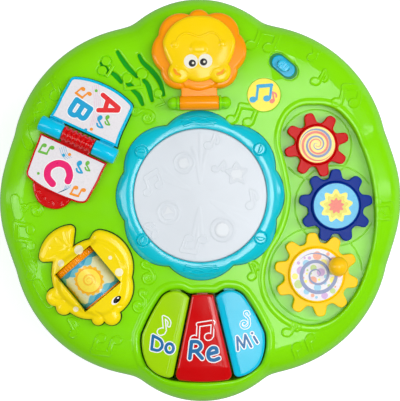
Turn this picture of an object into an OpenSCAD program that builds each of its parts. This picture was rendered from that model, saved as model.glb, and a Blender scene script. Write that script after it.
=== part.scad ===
// Musical activity table for toddlers.
// A lobed play panel on four splayed legs carries a drum pad, three hinged keys, a lion flap over
// a mirror, a two-page book, a fish with a picture roller, three meshed gears and a power switch.
// Frame: origin on the floor under the middle, +Z up, -Y towards the child at the keys.

/* [Table] */
// Width across the two side lobes
table_w = 380; // [372:1:400]
// Depth across the front and back lobes
table_d = 381; // [374:1:400]
// Height of the flat play deck above the floor
deck_z = 250; // [230:1:300]
// Radius of the two side lobes
side_lobe_r = 114; // [110:1:118]
// Radius of the front and back lobes
end_lobe_r = 90.5; // [88:0.5:93]
// Radius of the four corner lobes
corner_lobe_r = 128.5; // [127:0.5:130]
// Distance of a corner lobe's centre from the middle
corner_lobe_c = 62; // [61:0.5:63]
// Radius of the rounded edge of the play panel
edge_round = 26; // [24:0.5:27]
// Wall thickness of the moulded shells
wall = 3; // [2.6:0.1:3.4]
// Height of the housing under the play panel
housing_h = 35; // [33:1:42]

/* [Legs] */
// Distance of each leg's centre from the middle, left to right
leg_x = 104; // [102:1:106]
// Distance of each leg's centre from the middle, front to back
leg_y = 98; // [96:1:100]
// Outward lean of the legs, in degrees
leg_lean = 6; // [3:0.5:8]
// Radius of a leg at the top
leg_top_r = 18; // [17:0.5:20]
// Radius of a leg at the bottom
leg_foot_r = 14.5; // [12:0.5:16]
// Radius of the peg that holds a leg in its socket
leg_peg_r = 13.5; // [12:0.5:14.5]
// Length of that peg
leg_peg_h = 18; // [14:1:20]
// Height of the rubber foot cap
foot_h = 14; // [10:1:20]

/* [Drum] */
// Radius of the drum pad that shows inside the bezel
pad_r = 61.5; // [58:0.5:62.5]
// How far the drum pad can be pressed
pad_travel = 1.5; // [1:0.1:2]
// Distance of the drum's middle in front of or behind the middle of the table
drum_y = 4.5; // [3:0.5:6]
// Height of the bezel above the deck
bezel_h = 6.5; // [5.5:0.5:8]
// Radius of the drum springs' coils
drum_spring_r = 4; // [3:0.5:5]

/* [Lion flap] */
// Thickness of the orange mane plate
mane_t = 8; // [6:0.5:10]
// Thickness of the yellow face plate
face_t = 5; // [4:0.5:6]
// Radius of the flap's hinge barrel
flap_barrel_r = 6.5; // [5.5:0.5:7]
// Half length of the flap's hinge barrel
flap_barrel_l = 18; // [15:0.5:20]
// Radius of the hinge pins of the flap and the book
hinge_pin_r = 1.6; // [1.2:0.1:2]
// Radius of the mirror under the flap
mirror_r = 24; // [18:0.5:26]

/* [Book] */
// Thickness of the two book pages
page_t = 5.8; // [5:0.1:6.5]
// Radius of the book's hinge barrels
book_barrel_r = 7.2; // [6.8:0.1:7.6]
// Half length of the red middle barrel
book_barrel_l = 15.2; // [13:0.2:17]
// Half length of the whole book hinge
book_hinge_l = 38.5; // [36:0.5:40]

/* [Fish] */
// Height of the fish shell above the deck
fish_h = 12; // [10:0.5:14]
// Radius of the picture roller
roller_r = 22.5; // [21:0.5:23]
// Half length of the picture roller
roller_l = 21.8; // [20:0.2:23]
// Radius of the roller's axle
roller_axle_r = 2; // [1.5:0.1:3]

/* [Keys] */
// Height of the keys above the deck
key_rise = 5; // [3.5:0.5:6]
// Width of the slot between two keys
key_gap = 1.6; // [1.2:0.1:2.4]
// Radius of the rod that the keys swing on
key_rod_r = 1.5; // [1.2:0.1:2]
// Height of the keys' rubber contact domes
key_dome_h = 7; // [6:0.5:9]

/* [Gears] */
// Module of the gear teeth
gear_module = 7; // [6.8:0.05:7.1]
// Teeth on the red gear
red_teeth = 8;
// Teeth on the blue gear
blue_teeth = 9;
// Teeth on the yellow gear
yellow_teeth = 10;
// Thickness of the gears' teeth
gear_t = 9; // [7:0.5:10]
// Depth of the gear well below the deck
well_depth = 11; // [10.5:0.5:14]
// Radius of the ball knob on the yellow gear
knob_r = 9; // [7:0.5:10]
// Radius of the posts that the gears turn on
gear_post_r = 4.5; // [3.5:0.5:5.5]

/* [Switch, badge and speaker] */
// Radius of the round badge
badge_r = 15.4; // [12:0.2:16]
// How far the power switch slides each way
switch_travel = 3.5; // [2:0.5:4]
// Radius of the speaker's rim
speaker_r = 25; // [22:0.5:26]

/* [Clearances] */
// Gap between moving shells
gap = 0.3; // [0.25:0.05:0.4]
// Radial clearance of shafts and pins
running = 0.05; // [0.03:0.01:0.08]

/* [Hidden] */

$fn = 64;

// Outline of the table: eight round lobes, [centre distance, direction, radius]
corner_lobe_a = 37;
lobes = [
    [table_w / 2 - side_lobe_r, 0, side_lobe_r],
    [table_w / 2 - side_lobe_r, 180, side_lobe_r],
    [table_d / 2 - end_lobe_r, 90, end_lobe_r],
    [table_d / 2 - end_lobe_r, 270, end_lobe_r],
    for (a = [corner_lobe_a, 180 - corner_lobe_a, 180 + corner_lobe_a, 360 - corner_lobe_a])
        [corner_lobe_c, a, corner_lobe_r],
];
// Higher values make the notches between the lobes sharper
lobe_sharpness = 60;
outline_points = 96;

// Heights
skirt_h = 3;
part_z = deck_z - edge_round - skirt_h;
base_z = part_z - housing_h;
under_z = deck_z - wall;

// Screws
screw_r = 1.4;
screw_head_r = 3.2;
screw_head_h = 2.4;
boss_r = 4;
boss_join_z = base_z + 20;
screw_bite = 14;
screw_seat = 8;
boss_xy = [[44, 143], [-44, 143], [-150, 0], [150, 5], [74, -128], [-74, -128]];
// The boss at this place hangs under the gear well instead of the deck
well_boss = 3;

// Leg corners, in the order of the leg nodes
front_left = [-1, -1];
front_right = [1, -1];
back_left = [-1, 1];
back_right = [1, 1];
socket_wall = 3.5;
leg_end_lift = 4;
foot_wall = 3;

// Drum
pad_rim_gap = 0.4;
pad_flange = 3;
pad_flange_t = 2;
pad_skin = 3;
pad_rise = 5.4;
pad_crown = 1.2;
bezel_lip_t = bezel_h - 2.5;
bezel_round = 4.5;
drum_hole_r = pad_r + 4.5;
tray_depth = 12;
tray_wall = 2.2;
tray_flange = 5.5;
tray_floor_t = 2.5;
board_t = 1.6;
light_board_r = 42;
led_r = 2.5;
led_h = 4;
led_ring_r = 30;
led_count = 8;
drum_spring_ring_r = 51;
drum_spring_count = 3;
pad_post_r = 3;
pad_switch_h = 2;
wire_r = 0.6;

// Lobed bezel: corner notches and axis notches as [angle, radius], and the arcs' bulges
bezel_side_notch = [18, 12.2];
bezel_end_notch = [65.4, 10];
bezel_side_bulge = 0.347;
bezel_corner_bulge = 0.438;
bezel_end_bulge = 0.454;

// Lion flap, drawn around the middle of its hinge
flap_x = 0.5;
flap_y = 89.8;
flap_lift = 1;
flap_axis_z = deck_z + flap_barrel_r + flap_lift;
flap_round = 3.5;
flap_web_w = 16;
collar_t = 2;
collar_over = 1.4;
post_ball_l = 8.6;
post_ball_r = 5.6;
post_neck_r = 5;
post_web_w = 8;
mirror_t = 1.4;
mirror_y = 50;
pin_bite = 7;

// Book
book_at = [-111.8, 57.5];
book_turn = -25.4;
book_axis_z = deck_z + book_barrel_r + 0.8;
page_lift = 1;
book_rib_l = 2.6;
book_rib_depth = 0.7;
page_round = 1.6;
page_web_w = 12;
// Printed labels: thickness, margin on a page, depth of their recess and the play around them
label_t = 0.3;
label_inset = 2.6;
label_sink = 0.5;
label_play = 0.2;

// Fish
fish_at = [-104.9, -70.6];
roller_turn = -50.9;
roller_rise = 11.4;
roller_axis_z = deck_z + roller_rise - roller_r;
rim_l = 5.8;
flange_l = 2;
picture_t = 0.4;
rib_count = 44;
rib_deep = 0.8;
cradle_t = 2.6;
cradle_w = 16;
// Window that shows the roller, and the rim under its edges
window_l = 2 * roller_l + 0.8;
window_w = 2 * roller_r - 2;
window_rim = 1.6;
fish_top = deck_z + fish_h - 3;
fish_round = 2.5;
// Flat lip inside a rounded edge, where the flat plate overlaps it
fish_lip = 0.8;
fish_wall = 2.4;

// Keys, drawn around the middle of the key group
key_x = 0.8;
key_rod_y = -79.5;
key_rod_drop = 9;
key_rod_z = deck_z - key_rod_drop;
key_deep = 5;
key_round = 3.2;
key_hub_r = 3.5;
key_hub_w = 10;
key_hub_y = -98;
key_hub_x = [-25, 0, 25];
key_rod_half = 35;
rod_boss_x = [-33, -14, 14, 33];
rod_boss_w = 3;
plunger_x = [-36, 0, 36];
plunger_y = -130;
plunger_r = 3;
plunger_end = 12;
key_board_z = deck_z - plunger_end - gap - key_dome_h;
key_board_half = 68;
key_board_w = 26;
key_board_boss_r = 3.5;

// Gears
well_floor_t = 3;
well_z = deck_z - well_depth;
gear_lift = 0.6;
gear_z = well_z + gear_lift;
gear_top = gear_z + gear_t;
hub_rise = 2.4;
hub_top = gear_top + hub_rise;
gear_screw_head_r = 7.5;
gear_screw_head_t = 1.2;
post_top = gear_top - 0.6;
blue_at = [126, -7];
red_dir = 106.6;
yellow_dir = 253.4;
blue_phase = 9;
red_at = blue_at + gear_module * (red_teeth + blue_teeth) / 2 * [cos(red_dir), sin(red_dir)];
yellow_at = blue_at
    + gear_module * (yellow_teeth + blue_teeth) / 2 * [cos(yellow_dir), sin(yellow_dir)];
// A tooth of one gear meets a gap of the next one
function meshed(teeth, dir, lead_teeth, lead_phase, lead_dir) =
    dir - (0.5 - (lead_dir - lead_phase) * lead_teeth / 360) * 360 / teeth;
red_phase = meshed(red_teeth, red_dir + 180, blue_teeth, blue_phase, red_dir);
yellow_phase = meshed(yellow_teeth, yellow_dir - 180, blue_teeth, blue_phase, yellow_dir);
// Tip and root of each gear, as distances from its pitch circle
red_tip = 2.2;
red_root = 7.5;
blue_tip = 2.8;
blue_root = 5.5;
yellow_tip = 4.2;
yellow_root = 5;
tooth_steepness = 1.8;
// Hub radii
red_hub_r = 18.2;
blue_hub_r = 22.3;
yellow_hub_r = 25.6;
hub_rim = 1.5;
knob_off = 20.5;
knob_dir = 23;
knob_stem_r = 2.5;
knob_neck_r = 5;
knob_neck_h = 3;

// Switch
switch_at = [79, 123.5];
switch_turn = -41;
recess_l = 31.5;
recess_w = 16.7;
recess_deep = 2;
plate_l = 24.2;
plate_w = 13;
plate_t = 1.6;
slider_l = 12;
slider_w = 9;
slider_h = 3.6;
stem_w = 3;
switch_body_l = 14;
switch_body_w = 8;
switch_body_h = 7;

// Badge
badge_at = [60.5, 97];
badge_t = 0.5;
badge_sink = 0.6;

// Speaker
speaker_at = [-55, 109];
slot_w = 3.6;

// Batteries
cell_r = 7.1;
cell_l = 50;
cell_count = 3;
cell_pitch = 15.2;
bay_at = [0, 40];
bay_wall = 2;
door_t = 2;
door_lap = 3;

// Main board
main_board_at = [0, -55];
main_board_size = [100, 60];
main_board_lift = 14;

// ---- Outline helpers ----

function unit(v) = v / norm(v);
function left_of(v) = [-v[1], v[0]];
function turned(p, a) = [p[0] * cos(a) - p[1] * sin(a), p[0] * sin(a) + p[1] * cos(a)];
function mirrored(p) = [for (i = [len(p) - 1:-1:0])
    [-p[i][0], p[i][1], p[(i - 1 + len(p)) % len(p)][2]]];

// Points of an arc from a to b; the bulge is the tangent of a quarter of its angle
function arc(a, b, bulge, step) = abs(bulge) < 0.01 ? [a] :
    let (c = (a + b) / 2 + left_of(b - a) * (1 - bulge * bulge) / (4 * bulge),
         sweep = 4 * atan(bulge),
         n = max(2, ceil(abs(sweep) / step)))
    [for (i = [0:n - 1]) c + turned(a - c, sweep * i / n)];

// Closed outline of arcs: each point is [x, y, bulge of the side that starts there]
function outline(p, step = 15) = [for (i = [0:len(p) - 1], q = arc(
    [p[i][0], p[i][1]],
    [p[(i + 1) % len(p)][0], p[(i + 1) % len(p)][1]],
    p[i][2], step)) q];

// Each point moved inwards by d along the mean of its sides' normals
function inset(p, d) = let (n = len(p)) [for (i = [0:n - 1])
    let (t1 = unit(p[i] - p[(i - 1 + n) % n]),
         t2 = unit(p[(i + 1) % n] - p[i]),
         n1 = left_of(t1),
         n2 = left_of(t2))
    p[i] + (n1 + n2) / max(0.6, 1 + n1 * n2) * d];

function lobe_reach(a, l) =
    let (s = l[0] * sin(a - l[1]))
    max(1, l[0] * cos(a - l[1]) + sqrt(max(0, l[2] * l[2] - s * s)));
function table_reach(a) =
    pow(sum_of([for (l = lobes) pow(lobe_reach(a, l) / 100, lobe_sharpness)]),
        1 / lobe_sharpness) * 100;
function sum_of(v, i = 0) = i == len(v) ? 0 : v[i] + sum_of(v, i + 1);
table_line = [for (i = [0:outline_points - 1])
    let (a = 360 * i / outline_points) table_reach(a) * [cos(a), sin(a)]];

// Direction of a line of points at point i
function course(p, i) = unit(p[min(i + 1, len(p) - 1)] - p[max(i - 1, 0)]);

// Outline of a strip of width w along a line of points, with round ends
function strip(p, w, cap = 8) = let (last = len(p) - 1) concat(
    [for (i = [0:last]) p[i] - left_of(course(p, i)) * w / 2],
    [for (k = [1:cap - 1]) p[last] + turned(course(p, last), 180 * k / cap - 90) * w / 2],
    [for (i = [last:-1:0]) p[i] + left_of(course(p, i)) * w / 2],
    [for (k = [1:cap - 1]) p[0] - turned(course(p, 0), 180 * k / cap - 90) * w / 2]);

// Solid between inset copies of an outline; each ring is [height, inset]
module lofted(p, rings) {
    n = len(p);
    m = len(rings);
    polyhedron(
        points = [for (r = rings, q = inset(p, r[1])) [q[0], q[1], r[0]]],
        faces = [
            [for (i = [0:n - 1]) i],
            [for (i = [n - 1:-1:0]) (m - 1) * n + i],
            for (k = [0:m - 2], i = [0:n - 1]) each
                let (a = k * n + i, d = k * n + (i + 1) % n)
                [[a, a + n, d + n], [a, d + n, d]],
        ],
        convexity = 8);
}

// Hollow ring between inset copies of an outline; the rings close on themselves
module lofted_ring(p, rings) {
    n = len(p);
    m = len(rings);
    polyhedron(
        points = [for (r = rings, q = inset(p, r[1])) [q[0], q[1], r[0]]],
        faces = [
            for (k = [0:m - 1], i = [0:n - 1]) each
                let (k2 = (k + 1) % m, j = (i + 1) % n)
                [[k * n + i, k2 * n + i, k2 * n + j], [k * n + i, k2 * n + j, k * n + j]],
        ],
        convexity = 8);
}

// Rounded top edge, as rings that run up to z1
function rounding(z1, r, steps = 3) =
    [for (k = [0:steps]) [z1 - r + r * sin(90 * k / steps), r * (1 - cos(90 * k / steps))]];

// Rings that run from the bottom to the rounded top of a plate
function plate_rings(z0, z1, r, steps = 3) = concat([[z0, 0]], rounding(z1, r, steps));

module plate(p, z0, z1, r, steps = 3) {
    lofted(p, plate_rings(z0, z1, r, steps));
}

module prism(p, z0, z1) {
    translate([0, 0, z0]) linear_extrude(z1 - z0) polygon(p);
}

// Cylinder along X between x0 and x1
module rod_x(x0, x1, r) {
    translate([x0, 0, 0]) rotate([0, 90, 0]) cylinder(h = x1 - x0, r = r);
}

module pill(l, w) {
    square([l - w, w], center = true);
    for (s = [-1, 1])
        translate([s * (l - w) / 2, 0]) circle(d = w, $fn = 32);
}

module at_book() {
    translate([book_at[0], book_at[1], 0]) rotate(book_turn) children();
}

module at_fish() {
    translate([fish_at[0], fish_at[1], 0]) children();
}

module at_roller() {
    at_fish() rotate(roller_turn) children();
}

module at_switch() {
    translate([switch_at[0], switch_at[1], 0]) rotate(switch_turn) children();
}

// ---- Outlines of the pieces ----

gear_well_line = outline([
    [162.3, -8, 0.095], [150, 50, 0.124], [131, 80, 0.2], [106, 87, 0.3], [81.5, 76, 0.19],
    [76, 47.5, -0.05], [84.5, 4, -0.147], [69.5, -42.5, 0.15], [59, -75, 0.2],
    [72.5, -105, 0.2], [103, -117.5, 0.2], [131, -105, 0.12], [153.5, -67, 0.107],
], 8);

key_side_line = [
    [-12.8, -90.5, 0.2], [-24.8, -84.2, 0.22], [-37.5, -89.5, 0.06], [-56, -124, 0.16],
    [-51.5, -152, 0.2], [-32.5, -163.3, 0.35], [-28.6, -161, 0],
];
key_middle_line = [
    [10.2 - key_gap / 2, -88.2, 0.06], [-10.2 + key_gap / 2, -88.2, 0],
    [-26.4 + key_gap / 2, -161.5, 0.25], [-22.5, -166.6, 0.07], [22.5, -166.6, 0.25],
    [26.4 - key_gap / 2, -161.5, 0],
];
key_opening_line = [
    [11, -86.6, 0.05], [-11, -86.6, -0.1], [-16, -84.4, 0.2], [-25.4, -82.4, 0.22],
    [-38.8, -88.4, 0.06], [-58.1, -123.6, 0.16], [-53.2, -153.6, 0.16], [-30, -167.4, 0.07],
    [30, -167.4, 0.16], [53.2, -153.6, 0.16], [58.1, -123.6, 0.06], [38.8, -88.4, 0.22],
    [25.4, -82.4, 0.2], [16, -84.4, -0.1],
];

mane_line = [
    [38, 63.2, 0.53], [9.5, 81.7, 0.54], [-8.5, 81.7, 0.53], [-37, 63.2, 0.45],
    [-35.5, 30.7, 0.4], [-19, 13.2, 0], [19, 13.2, 0.4], [36, 30.7, 0.45],
];
face_line = [
    [27.5, 35.2, 0.12], [33, 56.2, 0.35], [0.5, 79.7, 0.35], [-32, 56.2, 0.12],
    [-26.5, 35.2, 0.97], [-10, 21.7, 0.25], [10.5, 21.7, 0.97],
];

book_base_line = [
    [35.3, 8.6, -0.06], [33.7, 27.6, 0], [33.8, 45.9, 0.3], [30.1, 51.4, 0.1], [0, 56.6, 0.1],
    [-26.9, 51.6, 0.3], [-30.2, 46.4, 0], [-31.6, 29.4, -0.06], [-33, 8.6, 0],
];
book_page_line = [
    [-34.4, -8.6, -0.04], [-33.2, -26.3, 0], [-31.6, -45, 0.3], [-27.6, -50.8, 0.06],
    [-9.4, -54.3, 0.04], [19, -53.6, 0.1], [27.1, -51.9, 0.3], [31.3, -46.6, 0], [32.8, -27.6, -0.04],
    [33.4, -8.6, 0],
];
book_tab_line = [
    [-21.6, -47, 0], [-22.1, -54, 0.15], [-11.4, -67, 0.2], [3, -68.6, 0.2], [13.9, -61.8, 0.1],
    [17, -54, 0], [17, -47, 0],
];

fish_line = [
    [-13.6, 29.1, 0], [-11.6, 44.6, 0.4], [-16.1, 49.6, 0.35], [-45.1, 21.6, 0.4],
    [-41.1, 15.6, 0], [-32.1, 16.1, 0.15], [-31.6, -8.4, 0.95], [-30.1, -25.4, 0.72],
    [-17.1, -31.2, 0.19], [2.9, -37.9, 0.82], [14.4, -39.9, 0.95], [28.9, -31.9, 0.335],
    [40.4, 0.1, 0.455], [11.9, 44.6, 0.3], [3.9, 39.6, 0], [1.9, 36.1, 0.13],
];
// Raised round body of the fish, a step around the window
fish_dome_line = [
    [36, -2, 0.45], [8, 37.5, 0.1], [2, 32, 0.1], [-13, 25, 0.05], [-27.5, 15, 0.15],
    [-27.5, -13, 0.2], [2, -33.8, 0.35], [28, -26, 0.2],
];

// Lobed outline around the pad, eight arcs between notches, m mm wider
function bezel_line(m = 0) =
    let (sn = bezel_side_notch, en = bezel_end_notch, rs = pad_r + sn[1] + m, re = pad_r + en[1] + m)
    outline([for (q = [
        [sn[0], rs, bezel_corner_bulge], [en[0], re, bezel_end_bulge],
        [180 - en[0], re, bezel_corner_bulge], [180 - sn[0], rs, bezel_side_bulge],
        [180 + sn[0], rs, bezel_corner_bulge], [180 + en[0], re, bezel_end_bulge],
        [360 - en[0], re, bezel_corner_bulge], [360 - sn[0], rs, bezel_side_bulge],
    ]) [q[1] * cos(q[0]), q[1] * sin(q[0]), q[2]]], 12);

// Speaker slots: three wavy staff lines, broken where the note heads sit
speaker_slots = [
    [[-90, 128.5], [-84, 120.5]],
    [[-81, 120], [-76.5, 116.5], [-72, 111]],
    [[-66, 109], [-61.5, 106.5]],
    [[-61.5, 103.5], [-56, 98], [-52.5, 90]],
    [[-75, 139], [-71.5, 133], [-65.5, 124.5], [-57.5, 116]],
    [[-52, 113.5], [-47, 107], [-43.5, 93.5]],
    [[-55, 135.5], [-51.5, 129], [-43, 120.5], [-36, 111.5], [-33, 105]],
];

// ---- Main shells ----

// The well hangs in the panel as a cup, with a post and a spacer ring for each gear
module gear_well_cup() {
    prism(inset(gear_well_line, -wall), well_z - well_floor_t, deck_z);
}

module gear_posts() {
    for (at = [red_at, blue_at, yellow_at])
        translate([at[0], at[1], 0]) {
            translate([0, 0, well_z - 1]) cylinder(h = gear_lift + 1, r = gear_post_r + 3);
            translate([0, 0, well_z - 1]) cylinder(h = post_top - well_z + 1, r = gear_post_r);
        }
}

module gear_well() color("yellowgreen") difference() {
    union() {
        difference() {
            gear_well_cup();
            prism(gear_well_line, well_z, deck_z + 1);
        }
        gear_posts();
        housing_boss(well_boss, well_z - well_floor_t + 1);
    }
    for (at = [red_at, blue_at, yellow_at])
        translate([at[0], at[1], well_z - 1])
            cylinder(h = post_top - well_z + 2, r = screw_r + running);
    boss_bore(well_boss);
}

module flap_posts() color("yellowgreen") difference() {
    for (s = [-1, 1])
        translate([flap_x, flap_y, 0]) mirror([s < 0 ? 1 : 0, 0, 0]) {
            translate([0, 0, flap_axis_z]) {
                rod_x(flap_barrel_l + gap, flap_barrel_l + gap + collar_t,
                      flap_barrel_r + collar_over - flap_lift);
                rod_x(flap_barrel_l + gap, flap_barrel_l + post_ball_l - post_ball_r / 2,
                      post_neck_r);
                translate([flap_barrel_l + post_ball_l - post_ball_r / 2, 0, 0])
                    sphere(r = post_ball_r, $fn = 40);
            }
            translate([flap_barrel_l + gap + 0.4, -post_web_w / 2, deck_z])
                cube([post_ball_l - 1.4, post_web_w, flap_axis_z - deck_z]);
        }
    translate([flap_x, flap_y, flap_axis_z])
        rod_x(-flap_barrel_l - pin_bite, flap_barrel_l + pin_bite, hinge_pin_r + running);
}

module key_rod_bosses() {
    for (x = rod_boss_x)
        translate([key_x + x, key_rod_y, 0]) {
            translate([-rod_boss_w / 2, -key_hub_r, key_rod_z])
                cube([rod_boss_w, 2 * key_hub_r, under_z - key_rod_z + 1]);
            translate([0, 0, key_rod_z]) rod_x(-rod_boss_w / 2, rod_boss_w / 2, key_hub_r);
        }
}

module key_board_bosses() {
    for (s = [-1, 1])
        translate([key_x + s * (key_board_half - 4), plunger_y, key_board_z])
            cylinder(h = under_z - key_board_z + 1, r = key_board_boss_r);
}

// Screw boss number i, from the joint with the housing up to z
module housing_boss(i, z) {
    translate([boss_xy[i][0], boss_xy[i][1], boss_join_z]) cylinder(h = z - boss_join_z, r = boss_r);
}

module boss_bore(i) {
    translate([boss_xy[i][0], boss_xy[i][1], boss_join_z - 1])
        cylinder(h = screw_bite + 1, r = screw_r + running);
}

module top_panel() color("yellowgreen") difference() {
    union() {
        difference() {
            union() {
                lofted_ring(table_line, concat(
                    [[part_z, 0]],
                    [for (k = [0:4]) [deck_z - edge_round * (1 - sin(18 * k)),
                                      edge_round * (1 - cos(18 * k))]],
                    [[deck_z, edge_round + 4], [under_z, edge_round + 4],
                     [under_z - edge_round * 0.3, wall + edge_round * 0.32], [part_z, wall]]));
                translate([0, 0, under_z]) linear_extrude(wall) difference() {
                    polygon(inset(table_line, edge_round + 2));
                    translate([0, drum_y]) circle(r = drum_hole_r);
                    at_roller() square([window_l, window_w], center = true);
                    for (s = speaker_slots) polygon(strip(s, slot_w));
                    at_switch() pill(2 * switch_travel + stem_w + 2 * gap, stem_w + 2 * gap);
                }
            }
            translate([key_x, 0, 0])
                prism(outline(key_opening_line), deck_z - edge_round, deck_z + 1);
            prism(inset(gear_well_line, -wall), well_z - well_floor_t, deck_z + 1);
            at_switch() translate([0, 0, deck_z - recess_deep]) linear_extrude(wall)
                pill(recess_l, recess_w);
            translate([badge_at[0], badge_at[1], deck_z - badge_sink])
                cylinder(h = wall, r = badge_r + gap);
            translate([flap_x, flap_y + mirror_y, deck_z - mirror_t])
                cylinder(h = wall, r = mirror_r + gap);
        }
        key_rod_bosses();
        key_board_bosses();
        for (i = [0:len(boss_xy) - 1]) if (i != well_boss) housing_boss(i, under_z + 0.5);
    }
    translate([key_x, key_rod_y, key_rod_z])
        rod_x(-key_rod_half - 1, key_rod_half + 1, key_rod_r + running);
    for (i = [0:len(boss_xy) - 1]) if (i != well_boss) boss_bore(i);
}

// Leg axis: stands on the housing's base plane and leans outwards on the way down
module at_leg(c) {
    translate([c[0] * leg_x, c[1] * leg_y, base_z])
        rotate([0, -leg_lean, atan2(c[1] * leg_y, c[0] * leg_x)]) children();
}

leg_l = base_z / cos(leg_lean);

module bottom_housing() color("yellowgreen") difference() {
    union() {
        difference() {
            lofted(table_line, [[base_z, 24], [base_z + 4, 17], [base_z + 11, 10],
                                [base_z + housing_h * 0.6, 5], [part_z, 1.5]]);
            lofted(table_line, [[base_z + wall, 23], [base_z + 12, 13.5],
                                [base_z + housing_h * 0.6, 8.2], [part_z + 1, 4.2]]);
        }
        for (c = [front_left, front_right, back_left, back_right])
            intersection() {
                at_leg(c) translate([0, 0, -10])
                    cylinder(h = leg_peg_h + 10 + wall, r = leg_peg_r + socket_wall);
                translate([-table_w, -table_d, base_z]) cube([2 * table_w, 2 * table_d, housing_h]);
            }
        for (at = boss_xy)
            translate([at[0], at[1], base_z]) cylinder(h = boss_join_z - base_z, r = boss_r + 0.5);
        translate([bay_at[0], bay_at[1], base_z]) linear_extrude(cell_r * 2 + 6) difference() {
            square([cell_l + 6 + 2 * bay_wall, cell_count * cell_pitch + 2 + 2 * bay_wall],
                   center = true);
            square([cell_l + 6, cell_count * cell_pitch + 2], center = true);
        }
        for (sx = [-1, 1], sy = [-1, 1])
            translate([main_board_at[0] + sx * (main_board_size[0] / 2 - 5),
                       main_board_at[1] + sy * (main_board_size[1] / 2 - 5), base_z])
                cylinder(h = main_board_lift, r = 3.5);
    }
    for (c = [front_left, front_right, back_left, back_right])
        at_leg(c) translate([0, 0, -10]) cylinder(h = leg_peg_h + 10 + gap, r = leg_peg_r + gap / 3);
    for (at = boss_xy)
        translate([at[0], at[1], 0]) {
            translate([0, 0, base_z - 1]) cylinder(h = boss_join_z - base_z + 2, r = screw_r + 0.2);
            translate([0, 0, base_z - 1]) cylinder(h = screw_seat + 1, r = screw_head_r + 0.3);
        }
    translate([bay_at[0], bay_at[1], base_z - 1]) linear_extrude(wall + 2)
        square([cell_l + 6, cell_count * cell_pitch + 2], center = true);
    translate([bay_at[0], bay_at[1], base_z - 1]) linear_extrude(door_t + 1)
        square([cell_l + 6 + 2 * door_lap, cell_count * cell_pitch + 2 + 2 * door_lap],
               center = true);
}

module housing_screws() color("silver") for (at = boss_xy)
    translate([at[0], at[1], base_z + screw_seat]) {
        translate([0, 0, -screw_head_h]) cylinder(h = screw_head_h, r = screw_head_r);
        cylinder(h = boss_join_z - base_z - screw_seat + screw_bite - 2, r = screw_r);
    }

module leg(c) color("deepskyblue") union() {
    difference() {
        at_leg(c) translate([0, 0, -leg_l + leg_end_lift])
            cylinder(h = leg_l - leg_end_lift + 4, r1 = leg_foot_r, r2 = leg_top_r);
        translate([-table_w, -table_d, base_z]) cube([2 * table_w, 2 * table_d, 20]);
    }
    at_leg(c) translate([0, 0, -6]) cylinder(h = leg_peg_h + 6, r = leg_peg_r);
}

module foot(c) color("darkorange") difference() {
    intersection() {
        at_leg(c) translate([0, 0, -leg_l - 6]) cylinder(h = foot_h + 6, r = leg_foot_r + foot_wall);
        translate([-table_w, -table_d, 0]) cube([2 * table_w, 2 * table_d, 3 * foot_h]);
    }
    at_leg(c) translate([0, 0, -leg_l + leg_end_lift])
        cylinder(h = leg_l - leg_end_lift + 4, r1 = leg_foot_r, r2 = leg_top_r);
}

module leg_front_left() { leg(front_left); }
module leg_front_right() { leg(front_right); }
module leg_back_left() { leg(back_left); }
module leg_back_right() { leg(back_right); }
module foot_front_left() { foot(front_left); }
module foot_front_right() { foot(front_right); }
module foot_back_left() { foot(back_left); }
module foot_back_right() { foot(back_right); }

// ---- Drum ----

module drum_bezel() color("darkturquoise") translate([0, drum_y, 0]) difference() {
    plate(bezel_line(), deck_z, deck_z + bezel_h, bezel_round);
    translate([0, 0, deck_z - 1]) cylinder(h = bezel_h + 2, r = pad_r + pad_rim_gap);
    translate([0, 0, deck_z - 1]) cylinder(h = bezel_h - bezel_lip_t + 1, r = drum_hole_r);
}

pad_flange_top = deck_z + bezel_h - bezel_lip_t - gap;
pad_floor_z = pad_flange_top - pad_flange_t;

module drum_pad() color("aliceblue") translate([0, drum_y, 0]) {
    rotate_extrude($fn = 96) polygon([
        [0, deck_z + pad_rise - pad_skin + pad_crown], [pad_r - 6, deck_z + pad_rise - pad_skin],
        [pad_r - 2.5, pad_floor_z],
        [pad_r + pad_flange, pad_floor_z], [pad_r + pad_flange, pad_flange_top],
        [pad_r, pad_flange_top], [pad_r, deck_z + pad_rise - 1.2], [pad_r - 1.2, deck_z + pad_rise - 0.2],
        [pad_r * 0.6, deck_z + pad_rise + pad_crown * 0.7], [0, deck_z + pad_rise + pad_crown],
    ]);
    translate([0, 0, pad_switch_z + pad_travel + gap])
        cylinder(h = deck_z + pad_rise - pad_switch_z - pad_travel - gap - 0.5, r = pad_post_r);
    for (k = [0:drum_spring_count - 1])
        rotate(90 + 360 * k / drum_spring_count)
            translate([drum_spring_ring_r, 0, drum_spring_top])
                cylinder(h = deck_z + pad_rise - 1 - drum_spring_top, r = drum_spring_r + 1);
}

tray_floor_z = deck_z - tray_depth;
light_board_z = tray_floor_z + board_t;
pad_switch_z = light_board_z + pad_switch_h;
drum_spring_top = deck_z + pad_rise - pad_skin;

module drum_tray() color("whitesmoke") translate([0, drum_y, 0]) rotate_extrude($fn = 96) polygon([
    [0, tray_floor_z - tray_floor_t], [drum_hole_r + gap + tray_wall, tray_floor_z - tray_floor_t],
    [drum_hole_r + gap + tray_wall, under_z - tray_floor_t],
    [drum_hole_r + tray_wall + tray_flange, under_z - tray_floor_t],
    [drum_hole_r + tray_wall + tray_flange, under_z], [drum_hole_r + gap, under_z],
    [drum_hole_r + gap, tray_floor_z], [0, tray_floor_z],
]);

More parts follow.
